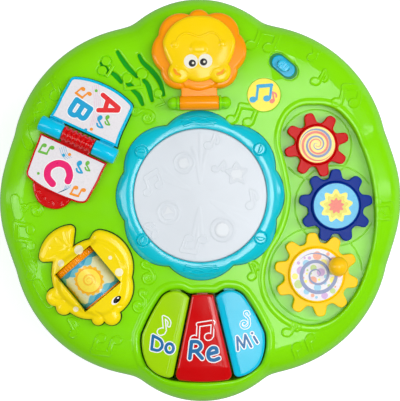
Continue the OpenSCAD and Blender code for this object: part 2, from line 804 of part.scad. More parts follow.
module drum_light_board() color("seagreen") translate([0, drum_y, tray_floor_z]) {
    cylinder(h = board_t, r = light_board_r);
    for (k = [0:led_count - 1])
        rotate(360 * k / led_count) translate([led_ring_r, 0, board_t - 0.5]) {
            cylinder(h = led_h - led_r + 0.5, r = led_r, $fn = 24);
            translate([0, 0, led_h - led_r + 0.5]) sphere(r = led_r, $fn = 24);
        }
    translate([-3, -3, board_t - 0.5]) cube([6, 6, pad_switch_h + 0.5]);
}

// Coil spring standing on z0, with closed round wire
module coil(r, wire, z0, z1, turns) {
    sides = 6;
    per_turn = 9;
    n = turns * per_turn;
    h = z1 - z0 - 2 * wire;
    polyhedron(
        points = [for (i = [0:n], k = [0:sides - 1])
            let (a = 360 * i / per_turn, b = 360 * k / sides, q = r + wire * cos(b))
            [q * cos(a), q * sin(a), z0 + wire + h * i / n + wire * sin(b)]],
        faces = [
            [for (k = [0:sides - 1]) k],
            [for (k = [sides - 1:-1:0]) n * sides + k],
            for (i = [0:n - 1], k = [0:sides - 1]) each
                let (a = i * sides + k, b = i * sides + (k + 1) % sides)
                [[a, a + sides, b + sides], [a, b + sides, b]],
        ],
        convexity = 8);
}

module drum_springs() color("silver") translate([0, drum_y, 0])
    for (k = [0:drum_spring_count - 1])
        rotate(90 + 360 * k / drum_spring_count) translate([drum_spring_ring_r, 0, 0])
            coil(drum_spring_r, wire_r, tray_floor_z, drum_spring_top, 5);

// ---- Lion flap ----

mane_z = deck_z + flap_lift;
mane_top = mane_z + mane_t;

module lion_mane() color("darkorange") translate([flap_x, flap_y, 0]) difference() {
    union() {
        plate(outline(mane_line), mane_z, mane_top, flap_round);
        translate([-flap_barrel_l + 1, 0, mane_z])
            cube([2 * flap_barrel_l - 2, flap_web_w, mane_t * 0.7]);
        translate([0, 0, flap_axis_z]) rod_x(-flap_barrel_l, flap_barrel_l, flap_barrel_r);
    }
    translate([0, 0, flap_axis_z])
        rod_x(-flap_barrel_l - 1, flap_barrel_l + 1, hinge_pin_r + running);
}

module lion_face() color("gold") translate([flap_x, flap_y, 0])
    plate(outline(face_line), mane_top, mane_top + face_t, flap_round);

module lion_hinge_pin() color("silver") translate([flap_x, flap_y, flap_axis_z])
    rod_x(-flap_barrel_l - pin_bite + 0.5, flap_barrel_l + pin_bite - 0.5, hinge_pin_r);

module lion_mirror() color("lightsteelblue")
    translate([flap_x, flap_y + mirror_y, deck_z - mirror_t]) cylinder(h = mirror_t - 0.2, r = mirror_r);

// ---- Book ----

module book_hinge_bore() {
    translate([0, 0, book_axis_z]) rod_x(-book_hinge_l - 1, book_hinge_l + 1, hinge_pin_r + running);
}

base_top = deck_z + page_lift + page_t;

module book_base() color("deepskyblue") at_book() difference() {
    union() {
        plate(outline(book_base_line), deck_z, base_top, page_round, 2);
        for (s = [-1, 1]) mirror([s < 0 ? 1 : 0, 0, 0]) {
            translate([0, 0, book_axis_z]) rod_x(book_barrel_l + gap * 2, book_hinge_l, book_barrel_r);
            translate([book_barrel_l + 3, 0, deck_z])
                cube([book_hinge_l - book_barrel_l - 9, page_web_w, base_top - deck_z - page_round]);
        }
    }
    book_hinge_bore();
    prism(inset(outline(book_base_line), label_inset - label_play), base_top - label_sink, base_top + 1);
}

module book_base_label() color("white") at_book()
    prism(inset(outline(book_base_line), label_inset), base_top - label_sink, base_top - label_sink + label_t);

module book_page() color("crimson") at_book() difference() {
    union() {
        plate(outline(book_page_line), deck_z + page_lift, base_top, page_round, 2);
        plate(outline(book_tab_line), deck_z + page_lift, base_top - 1.8, 1.2, 2);
        translate([0, 0, book_axis_z]) {
            rod_x(-book_barrel_l, book_barrel_l, book_barrel_r - book_rib_depth);
            for (x = [-book_barrel_l + book_rib_l / 2:2 * book_rib_l:book_barrel_l - book_rib_l / 2])
                rod_x(x - book_rib_l / 2, x + book_rib_l / 2, book_barrel_r);
        }
        translate([-book_barrel_l + 1, -page_web_w, deck_z + page_lift])
            cube([2 * book_barrel_l - 2, page_web_w, page_t - 1]);
    }
    book_hinge_bore();
    prism(inset(outline(book_page_line), label_inset - label_play), base_top - label_sink, base_top + 1);
}

module book_page_label() color("white") at_book()
    prism(inset(outline(book_page_line), label_inset), base_top - label_sink, base_top - label_sink + label_t);

module book_hinge_pin() color("silver") at_book() translate([0, 0, book_axis_z])
    rod_x(-book_hinge_l, book_hinge_l, hinge_pin_r);

// ---- Fish ----

module fish_shell() color("gold") difference() {
    union() {
        at_fish() {
            lofted_ring(outline(fish_line), concat(
                rounding(fish_top, fish_round),
                [[fish_top, fish_round + fish_lip], [fish_top - fish_wall, fish_round + fish_lip],
                 [fish_top - fish_wall, fish_wall], [deck_z, fish_wall], [deck_z, 0]]));
            prism(inset(outline(fish_line), fish_round + fish_lip / 2), fish_top - fish_wall, fish_top);
            lofted_ring(outline(fish_dome_line), concat(
                rounding(deck_z + fish_h, fish_round),
                [[deck_z + fish_h, fish_round + fish_lip], [fish_top - 1, fish_round + fish_lip],
                 [fish_top - 1, 0]]));
            prism(inset(outline(fish_dome_line), fish_round + fish_lip / 2), fish_top - 1, deck_z + fish_h);
        }
        at_roller() translate([0, 0, deck_z]) linear_extrude(fish_top - fish_wall / 2 - deck_z)
            square([window_l + 2 * window_rim, window_w + 2 * window_rim], center = true);
    }
    at_roller() translate([0, 0, deck_z - 1]) linear_extrude(fish_h + 2)
        square([window_l, window_w], center = true);
}

module picture_roller() color("darkorange") at_roller() translate([0, 0, roller_axis_z]) difference() {
    union() {
        rod_x(-roller_l + rim_l, roller_l - flange_l, roller_r - 2 * picture_t);
        rod_x(roller_l - flange_l, roller_l, roller_r);
        translate([-roller_l, 0, 0]) rotate([0, 90, 0]) linear_extrude(rim_l) polygon([
            for (i = [0:rib_count - 1], k = [0, 1, 2, 3])
                let (a = 360 * (i + k / 4) / rib_count, r = roller_r - (k < 2 ? 0 : rib_deep))
                r * [cos(a), sin(a)]]);
    }
    rod_x(-roller_l - 1, roller_l + 1, roller_axle_r + running);
}

module roller_picture() color("lightgoldenrodyellow") at_roller() translate([0, 0, roller_axis_z])
    difference() {
        rod_x(-roller_l + rim_l, roller_l - flange_l, roller_r - picture_t);
        rod_x(-roller_l + rim_l - 1, roller_l - flange_l + 1, roller_r - 2 * picture_t + running);
    }

module roller_axle() color("silver") at_roller() translate([0, 0, roller_axis_z])
    rod_x(-roller_l - gap - cradle_t, roller_l + gap + cradle_t, roller_axle_r);

module roller_cradle() color("dimgray") at_roller() difference() {
    union() {
        for (s = [-1, 1]) mirror([s < 0 ? 1 : 0, 0, 0]) {
            translate([roller_l + gap, -cradle_w / 2, roller_axis_z - roller_r - 2])
                cube([cradle_t, cradle_w, under_z - roller_axis_z + roller_r + 2]);
            translate([roller_l + gap, -cradle_w / 2, under_z - 2.5]) cube([cradle_t + 5, cradle_w, 2.5]);
        }
        translate([-roller_l - gap - cradle_t, -cradle_w / 2, roller_axis_z - roller_r - 3])
            cube([2 * (roller_l + gap + cradle_t), cradle_w, 2.4]);
    }
    translate([0, 0, roller_axis_z]) rod_x(-roller_l - 10, roller_l + 10, roller_axle_r + running);
}

// ---- Keys ----

key_top = deck_z + key_rise;

// Key number i on an outline, with its hinge hub behind and its plunger below
module key(p, i) {
    difference() {
        union() {
            plate(p, deck_z - key_deep, key_top, key_round);
            translate([key_hub_x[i] - key_hub_w / 2, key_hub_y, key_rod_z - key_hub_r])
                cube([key_hub_w, key_rod_y - key_hub_y,
                      deck_z - key_deep + 1 - key_rod_z + key_hub_r]);
            translate([key_hub_x[i], key_rod_y, key_rod_z])
                rod_x(-key_hub_w / 2, key_hub_w / 2, key_hub_r);
            translate([plunger_x[i], plunger_y, deck_z - plunger_end])
                cylinder(h = plunger_end - 1, r = plunger_r);
        }
        translate([0, key_rod_y, key_rod_z])
            rod_x(-key_board_half, key_board_half, key_rod_r + running);
    }
}

module key_left() color("yellowgreen") translate([key_x, 0, 0]) key(outline(key_side_line), 0);
module key_middle() color("red") translate([key_x, 0, 0]) key(outline(key_middle_line), 1);
module key_right() color("deepskyblue") translate([key_x, 0, 0])
    key(outline(mirrored(key_side_line)), 2);

module key_hinge_rod() color("silver") translate([key_x, key_rod_y, key_rod_z])
    rod_x(-key_rod_half, key_rod_half, key_rod_r);

module key_dome(i) color("gainsboro") translate([key_x + plunger_x[i], plunger_y, key_board_z])
    rotate_extrude() polygon([
        [0, 3], [3.4, 3], [5, 0], [7, 0], [7, 1], [5.6, 1.2], [4, key_dome_h - 1.2],
        [4, key_dome_h], [0, key_dome_h],
    ]);

module key_dome_left() { key_dome(0); }
module key_dome_middle() { key_dome(1); }
module key_dome_right() { key_dome(2); }

module key_board() color("seagreen")
    translate([key_x - key_board_half, plunger_y - key_board_w / 2, key_board_z - board_t])
        cube([2 * key_board_half, key_board_w, board_t]);

// ---- Gears ----

function gear_line(teeth, root, tip, phase) =
    let (lo = tanh_of(-tooth_steepness), hi = tanh_of(tooth_steepness), n = teeth * 20)
    [for (i = [0:n - 1])
        let (a = 360 * i / n,
             f = (tanh_of(tooth_steepness * cos(teeth * a)) - lo) / (hi - lo),
             r = teeth * gear_module / 2 - root + (root + tip) * f)
        r * [cos(a + phase), sin(a + phase)]];
function tanh_of(v) = 1 - 2 / (exp(2 * v) + 1);

module gear(at, teeth, root, tip, phase, hub_r) {
    translate([at[0], at[1], 0]) difference() {
        union() {
            translate([0, 0, gear_z]) linear_extrude(gear_t)
                polygon(gear_line(teeth, root, tip, phase));
            translate([0, 0, gear_top - 1]) cylinder(h = hub_rise + 1, r = hub_r);
        }
        translate([0, 0, gear_z - 1]) cylinder(h = gear_t + hub_rise + 2, r = gear_post_r + running);
        translate([0, 0, post_top - gap]) cylinder(h = hub_rise + 3, r = gear_screw_head_r + 1);
        translate([0, 0, hub_top - label_sink]) cylinder(h = 2, r = hub_r - hub_rim + 0.1);
    }
}

module gear_label(at, hub_r) {
    translate([at[0], at[1], hub_top - label_sink]) cylinder(h = label_t, r = hub_r - hub_rim);
}

module red_gear() color("red") gear(red_at, red_teeth, red_root, red_tip, red_phase, red_hub_r);
module blue_gear() color("mediumblue")
    gear(blue_at, blue_teeth, blue_root, blue_tip, blue_phase, blue_hub_r);

knob_at = yellow_at + knob_off * [cos(knob_dir), sin(knob_dir)];
knob_base = hub_top + gap;
knob_centre = knob_base + knob_neck_h + knob_r * 0.75;

module yellow_gear() color("gold") {
    gear(yellow_at, yellow_teeth, yellow_root, yellow_tip, yellow_phase, yellow_hub_r);
    translate([knob_at[0], knob_at[1], gear_top - 1])
        cylinder(h = knob_centre + 2 - gear_top + 1, r = knob_stem_r);
}

module red_gear_label() color("khaki") gear_label(red_at, red_hub_r);
module blue_gear_label() color("skyblue") gear_label(blue_at, blue_hub_r);
module yellow_gear_label() color("white") difference() {
    gear_label(yellow_at, yellow_hub_r);
    translate([knob_at[0], knob_at[1], gear_top]) cylinder(h = 10, r = knob_stem_r + gap);
}

module gear_screws() color("silver") for (at = [red_at, blue_at, yellow_at])
    translate([at[0], at[1], post_top]) {
        cylinder(h = gear_screw_head_t, r = gear_screw_head_r);
        translate([0, 0, well_z - post_top]) cylinder(h = post_top - well_z + 0.5, r = screw_r);
    }

module gear_knob() color("goldenrod") translate([knob_at[0], knob_at[1], 0]) difference() {
    union() {
        translate([0, 0, knob_base]) cylinder(h = knob_neck_h + 3, r = knob_neck_r);
        translate([0, 0, knob_centre]) sphere(r = knob_r);
    }
    translate([0, 0, knob_base - 1])
        cylinder(h = knob_centre + 2 + gap - knob_base + 1, r = knob_stem_r + running);
    translate([0, 0, knob_base - 20]) cylinder(h = 20, r = knob_r + 1);
}

// ---- Switch, badge, speaker ----

module switch_plate() color("deepskyblue") at_switch()
    translate([0, 0, deck_z - recess_deep]) linear_extrude(plate_t) difference() {
        pill(plate_l, plate_w);
        pill(2 * switch_travel + stem_w + 2 * gap, stem_w + 2 * gap);
    }

slider_z = deck_z - recess_deep + plate_t + gap;

module switch_slider() color("deepskyblue") at_switch() {
    translate([0, 0, slider_z]) linear_extrude(slider_h) pill(slider_l, slider_w);
    translate([0, 0, under_z + gap]) cylinder(h = slider_z - under_z, r = stem_w / 2);
}

module switch_body() color("dimgray") at_switch()
    translate([-switch_body_l / 2, -switch_body_w / 2, under_z - switch_body_h])
        cube([switch_body_l, switch_body_w, switch_body_h]);

module round_badge() color("gold") translate([badge_at[0], badge_at[1], deck_z - badge_sink])
    cylinder(h = badge_t, r = badge_r);

module speaker_frame() color("dimgray") translate([speaker_at[0], speaker_at[1], under_z])
    rotate_extrude() polygon([
        [speaker_r - 3, 0], [speaker_r, 0], [speaker_r, -2], [speaker_r - 3, -3.2],
        [13, -12], [13, -14], [8, -14], [8, -13], [11.5, -13], [11.5, -11.6],
        [speaker_r - 5, -3.2], [speaker_r - 5, -2], [speaker_r - 3, -2],
    ]);

module speaker_cone() color("black") translate([speaker_at[0], speaker_at[1], under_z])
    rotate_extrude() polygon([
        [speaker_r - 3.1, -1.5], [speaker_r - 3.1, -2], [speaker_r - 5, -2],
        [speaker_r - 6.5, -2.6], [9, -9.4], [0, -7.4], [0, -6.8], [9, -8.6], [speaker_r - 6.5, -2],
    ]);

module speaker_magnet() color("silver")
    translate([speaker_at[0], speaker_at[1], under_z - 22]) cylinder(h = 8, r = 13);

// ---- Boards and batteries ----

module main_board() color("seagreen")
    translate([main_board_at[0], main_board_at[1], base_z + main_board_lift]) {
        translate([-main_board_size[0] / 2, -main_board_size[1] / 2, 0])
            cube([main_board_size[0], main_board_size[1], board_t]);
        translate([-14, -12, board_t - 0.5]) cube([28, 24, 3]);
        translate([25, -10, board_t - 0.5]) cube([12, 16, 5]);
        translate([-38, 6, board_t - 0.5]) cylinder(h = 9, r = 4);
    }

module battery_door() color("yellowgreen") translate([bay_at[0], bay_at[1], base_z]) difference() {
    linear_extrude(door_t) square([cell_l + 6 + 2 * door_lap - 2 * gap,
                                   cell_count * cell_pitch + 2 + 2 * door_lap - 2 * gap],
                                  center = true);
    translate([cell_l / 2 + 3, 0, -1]) cylinder(h = door_t + 2, r = screw_r + 0.1);
}

module battery_door_screw() color("silver") translate([bay_at[0] + cell_l / 2 + 3, bay_at[1], base_z]) {
    translate([0, 0, -1.2]) cylinder(h = 1.2, r = screw_head_r);
    cylinder(h = door_t, r = screw_r);
}

module battery_cells() color("goldenrod") for (k = [0:cell_count - 1])
    translate([bay_at[0], bay_at[1] + (k - (cell_count - 1) / 2) * cell_pitch, base_z + door_t + cell_r]) {
        rod_x(-cell_l / 2, cell_l / 2, cell_r);
        rod_x(cell_l / 2 - 0.5, cell_l / 2 + 1.4, 2.6);
    }

top_panel();
gear_well();
flap_posts();
bottom_housing();
housing_screws();
leg_front_left();
leg_front_right();
leg_back_left();
leg_back_right();
foot_front_left();
foot_front_right();
foot_back_left();
foot_back_right();
drum_bezel();
drum_pad();
drum_tray();
drum_light_board();
drum_springs();
lion_mane();
lion_face();
lion_hinge_pin();
lion_mirror();
book_base();
book_base_label();
book_page();
book_page_label();
book_hinge_pin();
fish_shell();
picture_roller();
roller_picture();
roller_axle();
roller_cradle();
key_left();
key_middle();
key_right();
key_hinge_rod();
key_dome_left();
key_dome_middle();
key_dome_right();
key_board();
red_gear();
blue_gear();
yellow_gear();
red_gear_label();
blue_gear_label();
yellow_gear_label();
gear_screws();
gear_knob();
switch_plate();
switch_slider();
switch_body();
round_badge();
speaker_frame();
speaker_cone();
speaker_magnet();
main_board();
battery_door();
battery_door_screw();
battery_cells();
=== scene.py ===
"""Looks of the musical activity table, built around its packed frame.

Every size below is in millimetres unless its name says otherwise. Pieces are made in the table's
own frame: origin on the floor under the middle, +Z up, -Y towards the child at the keys.
"""

import math
import random

import bmesh
import bpy
import numpy as np
from bpy.props import FloatProperty, FloatVectorProperty, PointerProperty
from bpy.types import Operator, Panel, PropertyGroup
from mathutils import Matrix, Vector
from mathutils.geometry import delaunay_2d_cdt


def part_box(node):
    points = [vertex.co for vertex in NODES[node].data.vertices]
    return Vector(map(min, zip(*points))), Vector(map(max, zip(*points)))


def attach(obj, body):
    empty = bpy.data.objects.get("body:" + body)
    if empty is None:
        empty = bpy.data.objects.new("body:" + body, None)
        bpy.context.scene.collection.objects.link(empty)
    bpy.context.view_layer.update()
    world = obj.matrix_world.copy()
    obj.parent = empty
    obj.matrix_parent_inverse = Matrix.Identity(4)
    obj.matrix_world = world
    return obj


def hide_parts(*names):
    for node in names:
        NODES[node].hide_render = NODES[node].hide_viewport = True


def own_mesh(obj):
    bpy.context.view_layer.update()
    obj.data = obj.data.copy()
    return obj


bl_info = {
    "name": "Musical Activity Table",
    "version": (1, 0, 0),
    "blender": (4, 5, 0),
    "location": "View3D > Sidebar > Activity Table",
    "description": "Dresses the musical activity table with its moulded shells, prints and finishes",
    "category": "Object",
}

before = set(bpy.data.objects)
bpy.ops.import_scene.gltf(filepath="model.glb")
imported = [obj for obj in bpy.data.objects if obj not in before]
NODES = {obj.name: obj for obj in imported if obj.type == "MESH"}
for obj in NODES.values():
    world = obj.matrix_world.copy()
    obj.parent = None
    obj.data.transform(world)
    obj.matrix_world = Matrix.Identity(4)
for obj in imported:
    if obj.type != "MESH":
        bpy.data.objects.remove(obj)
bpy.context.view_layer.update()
MM = 0.001

# ---- Sizes shared with the table's frame ----

DECK = 250.0
EDGE_ROUND = 26.0
SKIRT = 3.0
PART_Z = DECK - EDGE_ROUND - SKIRT
HOUSING_H = 35.0
BASE_Z = PART_Z - HOUSING_H
WALL = 3.0
DRUM_Y = 4.5
PAD_R = 61.5
PAD_TOP = DECK + 5.4
BEZEL_TOP = DECK + 6.5
FLAP = np.array([0.5, 89.8])
FLAP_AXIS_Z = DECK + 7.5
MANE_Z, MANE_TOP, FACE_TOP = DECK + 1, DECK + 9, DECK + 14
BOOK_AT, BOOK_TURN = np.array([-111.8, 57.5]), -25.4
BOOK_AXIS_Z = DECK + 8
PAGE_Z, PAGE_TOP = DECK + 1, DECK + 6.8
BARREL_R, BARREL_HALF, BOOK_HINGE_HALF = 7.2, 15.2, 38.5
FISH_AT, ROLLER_TURN = np.array([-104.9, -70.6]), -50.9
FISH_TOP, DOME_TOP = DECK + 9, DECK + 12
ROLLER_R, ROLLER_HALF = 22.5, 21.8
ROLLER_Z = DECK + 11.4 - ROLLER_R
WINDOW_L, WINDOW_W = 2 * ROLLER_HALF + 0.8, 2 * ROLLER_R - 2
KEY_X = 0.8
KEY_TOP, KEY_BOTTOM = DECK + 5, DECK - 5
WELL_Z = DECK - 11
GEAR_Z, GEAR_TOP = DECK - 10.4, DECK - 1.4
HUB_TOP = DECK + 1
BLUE_AT = np.array([126.0, -7.0])
RED_AT = np.array([109.0, 50.02])
YELLOW_AT = np.array([107.0, -70.73])
KNOB_AT = np.array([125.87, -62.72])
SWITCH_AT, SWITCH_TURN = np.array([79.0, 123.5]), -41.0
BADGE_AT, BADGE_R = np.array([60.5, 97.0]), 15.4
MIRROR_AT, MIRROR_R = np.array([0.5, 139.8]), 24.0
FLAP_BARREL_R, FLAP_BARREL_HALF = 6.5, 18.0
SPRING_RING = 51.0
PLUNGER_Y, KEY_HINGE_Y = -130.0, -79.5
LEGS = [(sx * 104, sy * 98) for sx in (-1, 1) for sy in (-1, 1)]
LEG_NAMES = ("front_left", "back_left", "front_right", "back_right")
LEG_LEAN, LEG_TOP_R, LEG_FOOT_R, FOOT_H = 6.0, 18.0, 14.5, 14.0
SCREWS = [(44, 143), (-44, 143), (-150, 0), (150, 5), (74, -128), (-74, -128)]

# ---- Looks that one number sets ----

SHARP_ANGLE = 38.0
SHINE = {"bezel": 1.0, "red": 0.8}
FLOOR_LIFT = 0.46
SKY, SKY_IN_GLOSS = 0.46, 0.03
LIGHTS = (  # name, place and size in metres, turn, brightness, seen in reflections
    ("overhead", (0.185, -0.055, 1.60), (0.36, 0.62), 12, 4.4, True),
    ("right_box", (1.10, 0.15, 1.45), (0.8, 1.4), 0, 3.6, False),
    ("right_strip", (1.25, 0.10, 1.10), (0.12, 1.1), 0, 3.0, True),
    ("left_box", (-0.95, -0.10, 1.50), (0.5, 1.0), 0, 2.4, True),
    ("left_strip", (-1.0, 0.05, 0.62), (0.10, 0.9), 0, 1.6, True),
)
LENS, CAMERA_AT, CAMERA_ROLL = 106.4, (-0.28, -0.19, DECK + 1100), -0.85

# ---- Outline helpers ----


def turned(points, degrees):
    """Points turned about the origin."""
    a = math.radians(degrees)
    p = np.asarray(points, float)
    return p @ np.array([[math.cos(a), math.sin(a)], [-math.sin(a), math.cos(a)]])


def placed(points, at, degrees=0.0):
    """Points turned, then moved."""
    return turned(points, degrees) + np.asarray(at, float)


def polar(r, a):
    """Points at distances r and angles a from the origin."""
    return np.stack([r * np.cos(a), r * np.sin(a)], 1)


def whole_turn(count):
    """Even angles once around."""
    return np.linspace(0, 2 * math.pi, count, endpoint=False)


def circle(at, radius, count=96):
    """Closed round outline."""
    a = whole_turn(count)
    return np.stack([at[0] + radius * np.cos(a), at[1] + radius * np.sin(a)], 1)


def rectangle(half_x, half_y):
    """The four corners of a rectangle round the origin."""
    return np.array([(-1, -1), (1, -1), (1, 1), (-1, 1)]) * [half_x, half_y]


def oval(at, rx, ry, degrees, count=40):
    """Closed oval outline."""
    return placed(circle((0, 0), 1, count) * [rx, ry], at, degrees)


def bulged(corners, step=4.0):
    """Closed outline of arcs: each corner is (x, y, bulge of the side that starts there)."""
    out = []
    for i, (x, y, bulge) in enumerate(corners):
        a, b = np.array([x, y], float), np.array(corners[(i + 1) % len(corners)][:2], float)
        chord = b - a
        if abs(bulge) < 0.01:
            n = max(1, int(np.linalg.norm(chord) / 2.5))
            out += [a + chord * k / n for k in range(n)]
            continue
        centre = (a + b) / 2 + np.array([-chord[1], chord[0]]) * (1 - bulge**2) / (4 * bulge)
        sweep = 4 * math.degrees(math.atan(bulge))
        n = max(3, math.ceil(abs(sweep) / step), math.ceil(np.linalg.norm(chord) / 2.5))
        out += [centre + turned(a - centre, sweep * k / n) for k in range(n)]
    return np.array(out)


def spaced(line, gap, closed=True):
    """The same line with its points about gap apart."""
    p = np.vstack([line, line[:1]]) if closed else np.asarray(line, float)
    run = np.concatenate([[0], np.cumsum(np.linalg.norm(np.diff(p, axis=0), axis=1))])
    n = max(3, int(round(run[-1] / gap)))
    t = np.linspace(0, run[-1], n, endpoint=False) if closed else np.linspace(0, run[-1], n + 1)
    return np.stack([np.interp(t, run, p[:, k]) for k in range(p.shape[1])], 1)


def inset(loop, distance):
    """Each point moved towards the left of the loop along its mean normal."""
    ahead = np.roll(loop, -1, 0) - loop
    ahead /= np.linalg.norm(ahead, axis=1)[:, None]
    back = np.roll(ahead, 1, 0)
    n1, n2 = np.stack([-back[:, 1], back[:, 0]], 1), np.stack([-ahead[:, 1], ahead[:, 0]], 1)
    share = np.maximum(0.6, 1 + (n1 * n2).sum(1))
    return loop + (n1 + n2) / share[:, None] * distance


def raised(loop, z):
    """A loop in three dimensions, at one height or at its own heights."""
    return np.column_stack([loop, z if np.ndim(z) else np.full(len(loop), float(z))])


def inside(points, loop):
    """Whether each point lies inside a closed loop."""
    x, y = points[:, :1], points[:, 1:]
    x1, y1 = loop[None, :, 0], loop[None, :, 1]
    x2, y2 = np.roll(loop, -1, 0)[None, :, 0], np.roll(loop, -1, 0)[None, :, 1]
    spans = (y1 > y) != (y2 > y)
    with np.errstate(divide="ignore", invalid="ignore"):
        cut = x1 + (y - y1) * (x2 - x1) / (y2 - y1)
    return (spans & (x < cut)).sum(1) % 2 == 1


def distance_to(points, line, closed=True):
    """Distance of each point from a line of points."""
    a = np.asarray(line, float)
    b = np.roll(a, -1, 0) if closed else a[1:]
    a = a if closed else a[:-1]
    out = np.empty(len(points))
    for start in range(0, len(points), 3000):
        p = points[start : start + 3000, None, :]
        ab = b - a
        t = ((p - a) * ab).sum(2) / np.maximum((ab**2).sum(1), 1e-12)
        foot = a + np.clip(t, 0, 1)[..., None] * ab
        out[start : start + 3000] = np.sqrt(((p - foot) ** 2).sum(2).min(1))
    return out


def strip(line, width, cap=6):
    """Closed outline of a band along an open line, with round ends; width may change along it."""
    p = np.asarray(line, float)
    half = np.broadcast_to(np.asarray(width, float) / 2, len(p))
    course = np.gradient(p, axis=0)
    course /= np.maximum(np.linalg.norm(course, axis=1), 1e-9)[:, None]
    left = np.stack([-course[:, 1], course[:, 0]], 1) * half[:, None]
    end = [p[-1] + turned(course[-1], a) * half[-1] for a in np.linspace(-90, 90, cap + 2)[1:-1]]
    start = [p[0] - turned(course[0], a) * half[0] for a in np.linspace(-90, 90, cap + 2)[1:-1]]
    return np.vstack([p - left, end, (p + left)[::-1], start])


def curve(points, count=24, closed=False):
    """Smooth line through a few points."""
    p = np.asarray(points, float)
    n = len(p)
    if closed:
        p = np.vstack([p[-1:], p, p[:2]])
    else:
        p = np.vstack([2 * p[:1] - p[1:2], p, 2 * p[-1:] - p[-2:-1]])
    spans = n if closed else n - 1
    out = []
    for s in range(spans):
        a, b, c, d = p[s : s + 4]
        for t in np.linspace(0, 1, max(2, count // spans), endpoint=False):
            squared, cubed = (2 * a - 5 * b + 4 * c - d) * t**2, (3 * b - a - 3 * c + d) * t**3
            out.append(0.5 * (2 * b + (c - a) * t + squared + cubed))
    if not closed:
        out.append(p[-2])
    return np.array(out)


def drop(distance, radius):
    """How far a rounded edge of this radius falls at a distance inside it."""
    if radius <= 0:
        return np.zeros_like(distance)
    short = np.clip(radius - distance, 0, radius)
    return radius - np.sqrt(np.maximum(radius**2 - short**2, 0))


def edge_lines(loop, radius, steps=5):
    """Copies of a loop where its rounded edge needs points, and one more on the flat beyond."""
    out = []
    for k in range(1, steps + 2):
        d = radius * (1 - math.cos(math.pi / 2 * min(k, steps) / steps)) + (0.5 if k > steps else 0)
        copy = inset(loop, d)
        out.append(copy[distance_to(copy, loop) > d * 0.985])
    return out


def union(points, strokes):
    """Distance outside a shape of strokes, negative inside."""
    return np.min([distance_to(points, line, False) - half for line, half in strokes], axis=0)


def around(points, line, reach):
    """Which points lie within the box around a line."""
    return ((points > line.min(0) - reach - 0.1) & (points < line.max(0) + reach + 0.1)).all(1)


def runs(points, keep):
    """The unbroken stretches of a line where keep is true, the first joined to the last."""
    if keep.all():
        return [np.vstack([points, points[:1]])]
    start = int(np.argmin(keep))
    points, keep = np.roll(points, -start, 0), np.roll(keep, -start)
    out, now = [], []
    for point, kept in zip(points, keep):
        if kept:
            now.append(point)
        elif now:
            out.append(np.array(now))
            now = []
    if now:
        out.append(np.array(now))
    return [line for line in out if len(line) > 4]


def filled(loop, gap):
    """Even rows of points inside a loop, for a face that curves all over."""
    low, high = loop.min(0), loop.max(0)
    rows = np.arange(low[1], high[1], gap * 0.87)
    out = []
    for k, y in enumerate(rows):
        x = np.arange(low[0] + (k % 2) * gap / 2, high[0], gap)
        out.append(np.column_stack([x, np.full(len(x), y)]))
    points = np.vstack(out)
    return points[inside(points, loop)]


# ---- Relief: raised lines and bosses on a moulded face ----


class Relief:
    """Raised strokes, outlined shapes and grooves on a moulded face."""

    def __init__(self):
        self.strokes, self.emblems, self.grooves = [], [], []

    def emblem(self, strokes, rim, height, fill):
        """Raised outline of a shape made of (line, half width) strokes, with a lower face inside."""
        self.emblems.append(([(np.asarray(p, float), half) for p, half in strokes], rim, height, fill))

    def line(self, points, half, height, closed=False):
        """Raised round-topped line."""
        self.strokes.append((np.asarray(points, float), half, height, closed))

    def groove(self, points, half, depth, closed=False):
        """Round-bottomed groove."""
        self.grooves.append((np.asarray(points, float), half, depth, closed))

    def free(self):
        """Points that the mesh needs to carry the strokes."""
        out = []
        for line, half, _, closed in self.strokes + self.grooves:
            for reach in (0.0, 0.45 * half, 0.8 * half, 1.05 * half, 1.05 * half + 0.45):
                gap = max(0.9, half * 0.6)
                if closed:
                    dense = spaced(line, gap)
                    out += [inset(dense, reach), inset(dense, -reach)]
                elif reach == 0:
                    out.append(spaced(line, max(0.9, half * 0.7), closed=False))
                else:
                    out.append(strip(spaced(line, gap, closed=False), 2 * reach, 7 if half < 2.5 else 16))
        for strokes, rim, _, _ in self.emblems:
            for line, half in strokes:
                dense = spaced(line, 0.8, closed=False)
                for shift in (-rim - 0.4, -rim, -rim / 2, 0, rim / 2, rim, rim + 0.4):
                    if half + shift > 0.2:
                        ring = strip(dense, 2 * (half + shift), 7 if half < 2.5 else 18)
                        out.append(ring[np.abs(union(ring, strokes) - shift) < 0.12])
        return out

    def height(self, points):
        """How far the relief lifts or lowers the face at each point."""
        total = np.zeros(len(points))
        for line, half, height, closed in self.strokes:
            near = around(points, line, half)
            if near.any():
                t = np.clip(1 - distance_to(points[near], line, closed) / half, 0, 1)
                total[near] = np.maximum(total[near], height * np.sin(np.minimum(1, t * 1.5) * math.pi / 2))
        for strokes, rim, height, fill in self.emblems:
            lines = np.vstack([line for line, _ in strokes])
            near = around(points, lines, rim + max(half for _, half in strokes))
            if near.any():
                d = union(points[near], strokes)
                ridge = height * np.cos(np.clip(d / rim, -1, 1) * math.pi / 2)
                total[near] = np.maximum(total[near], np.where(d < 0, np.maximum(ridge, fill * height), ridge))
        for line, half, depth, closed in self.grooves:
            near = around(points, line, half)
            if near.any():
                t = np.clip(1 - distance_to(points[near], line, closed) / half, 0, 1)
                total[near] -= depth * np.sin(t * math.pi / 2) ** 2
        return total


# ---- Mesh collector ----


def added(name, data):
    """A new object in the scene."""
    made = bpy.data.objects.new(name, data)
    bpy.context.scene.collection.objects.link(made)
    return made


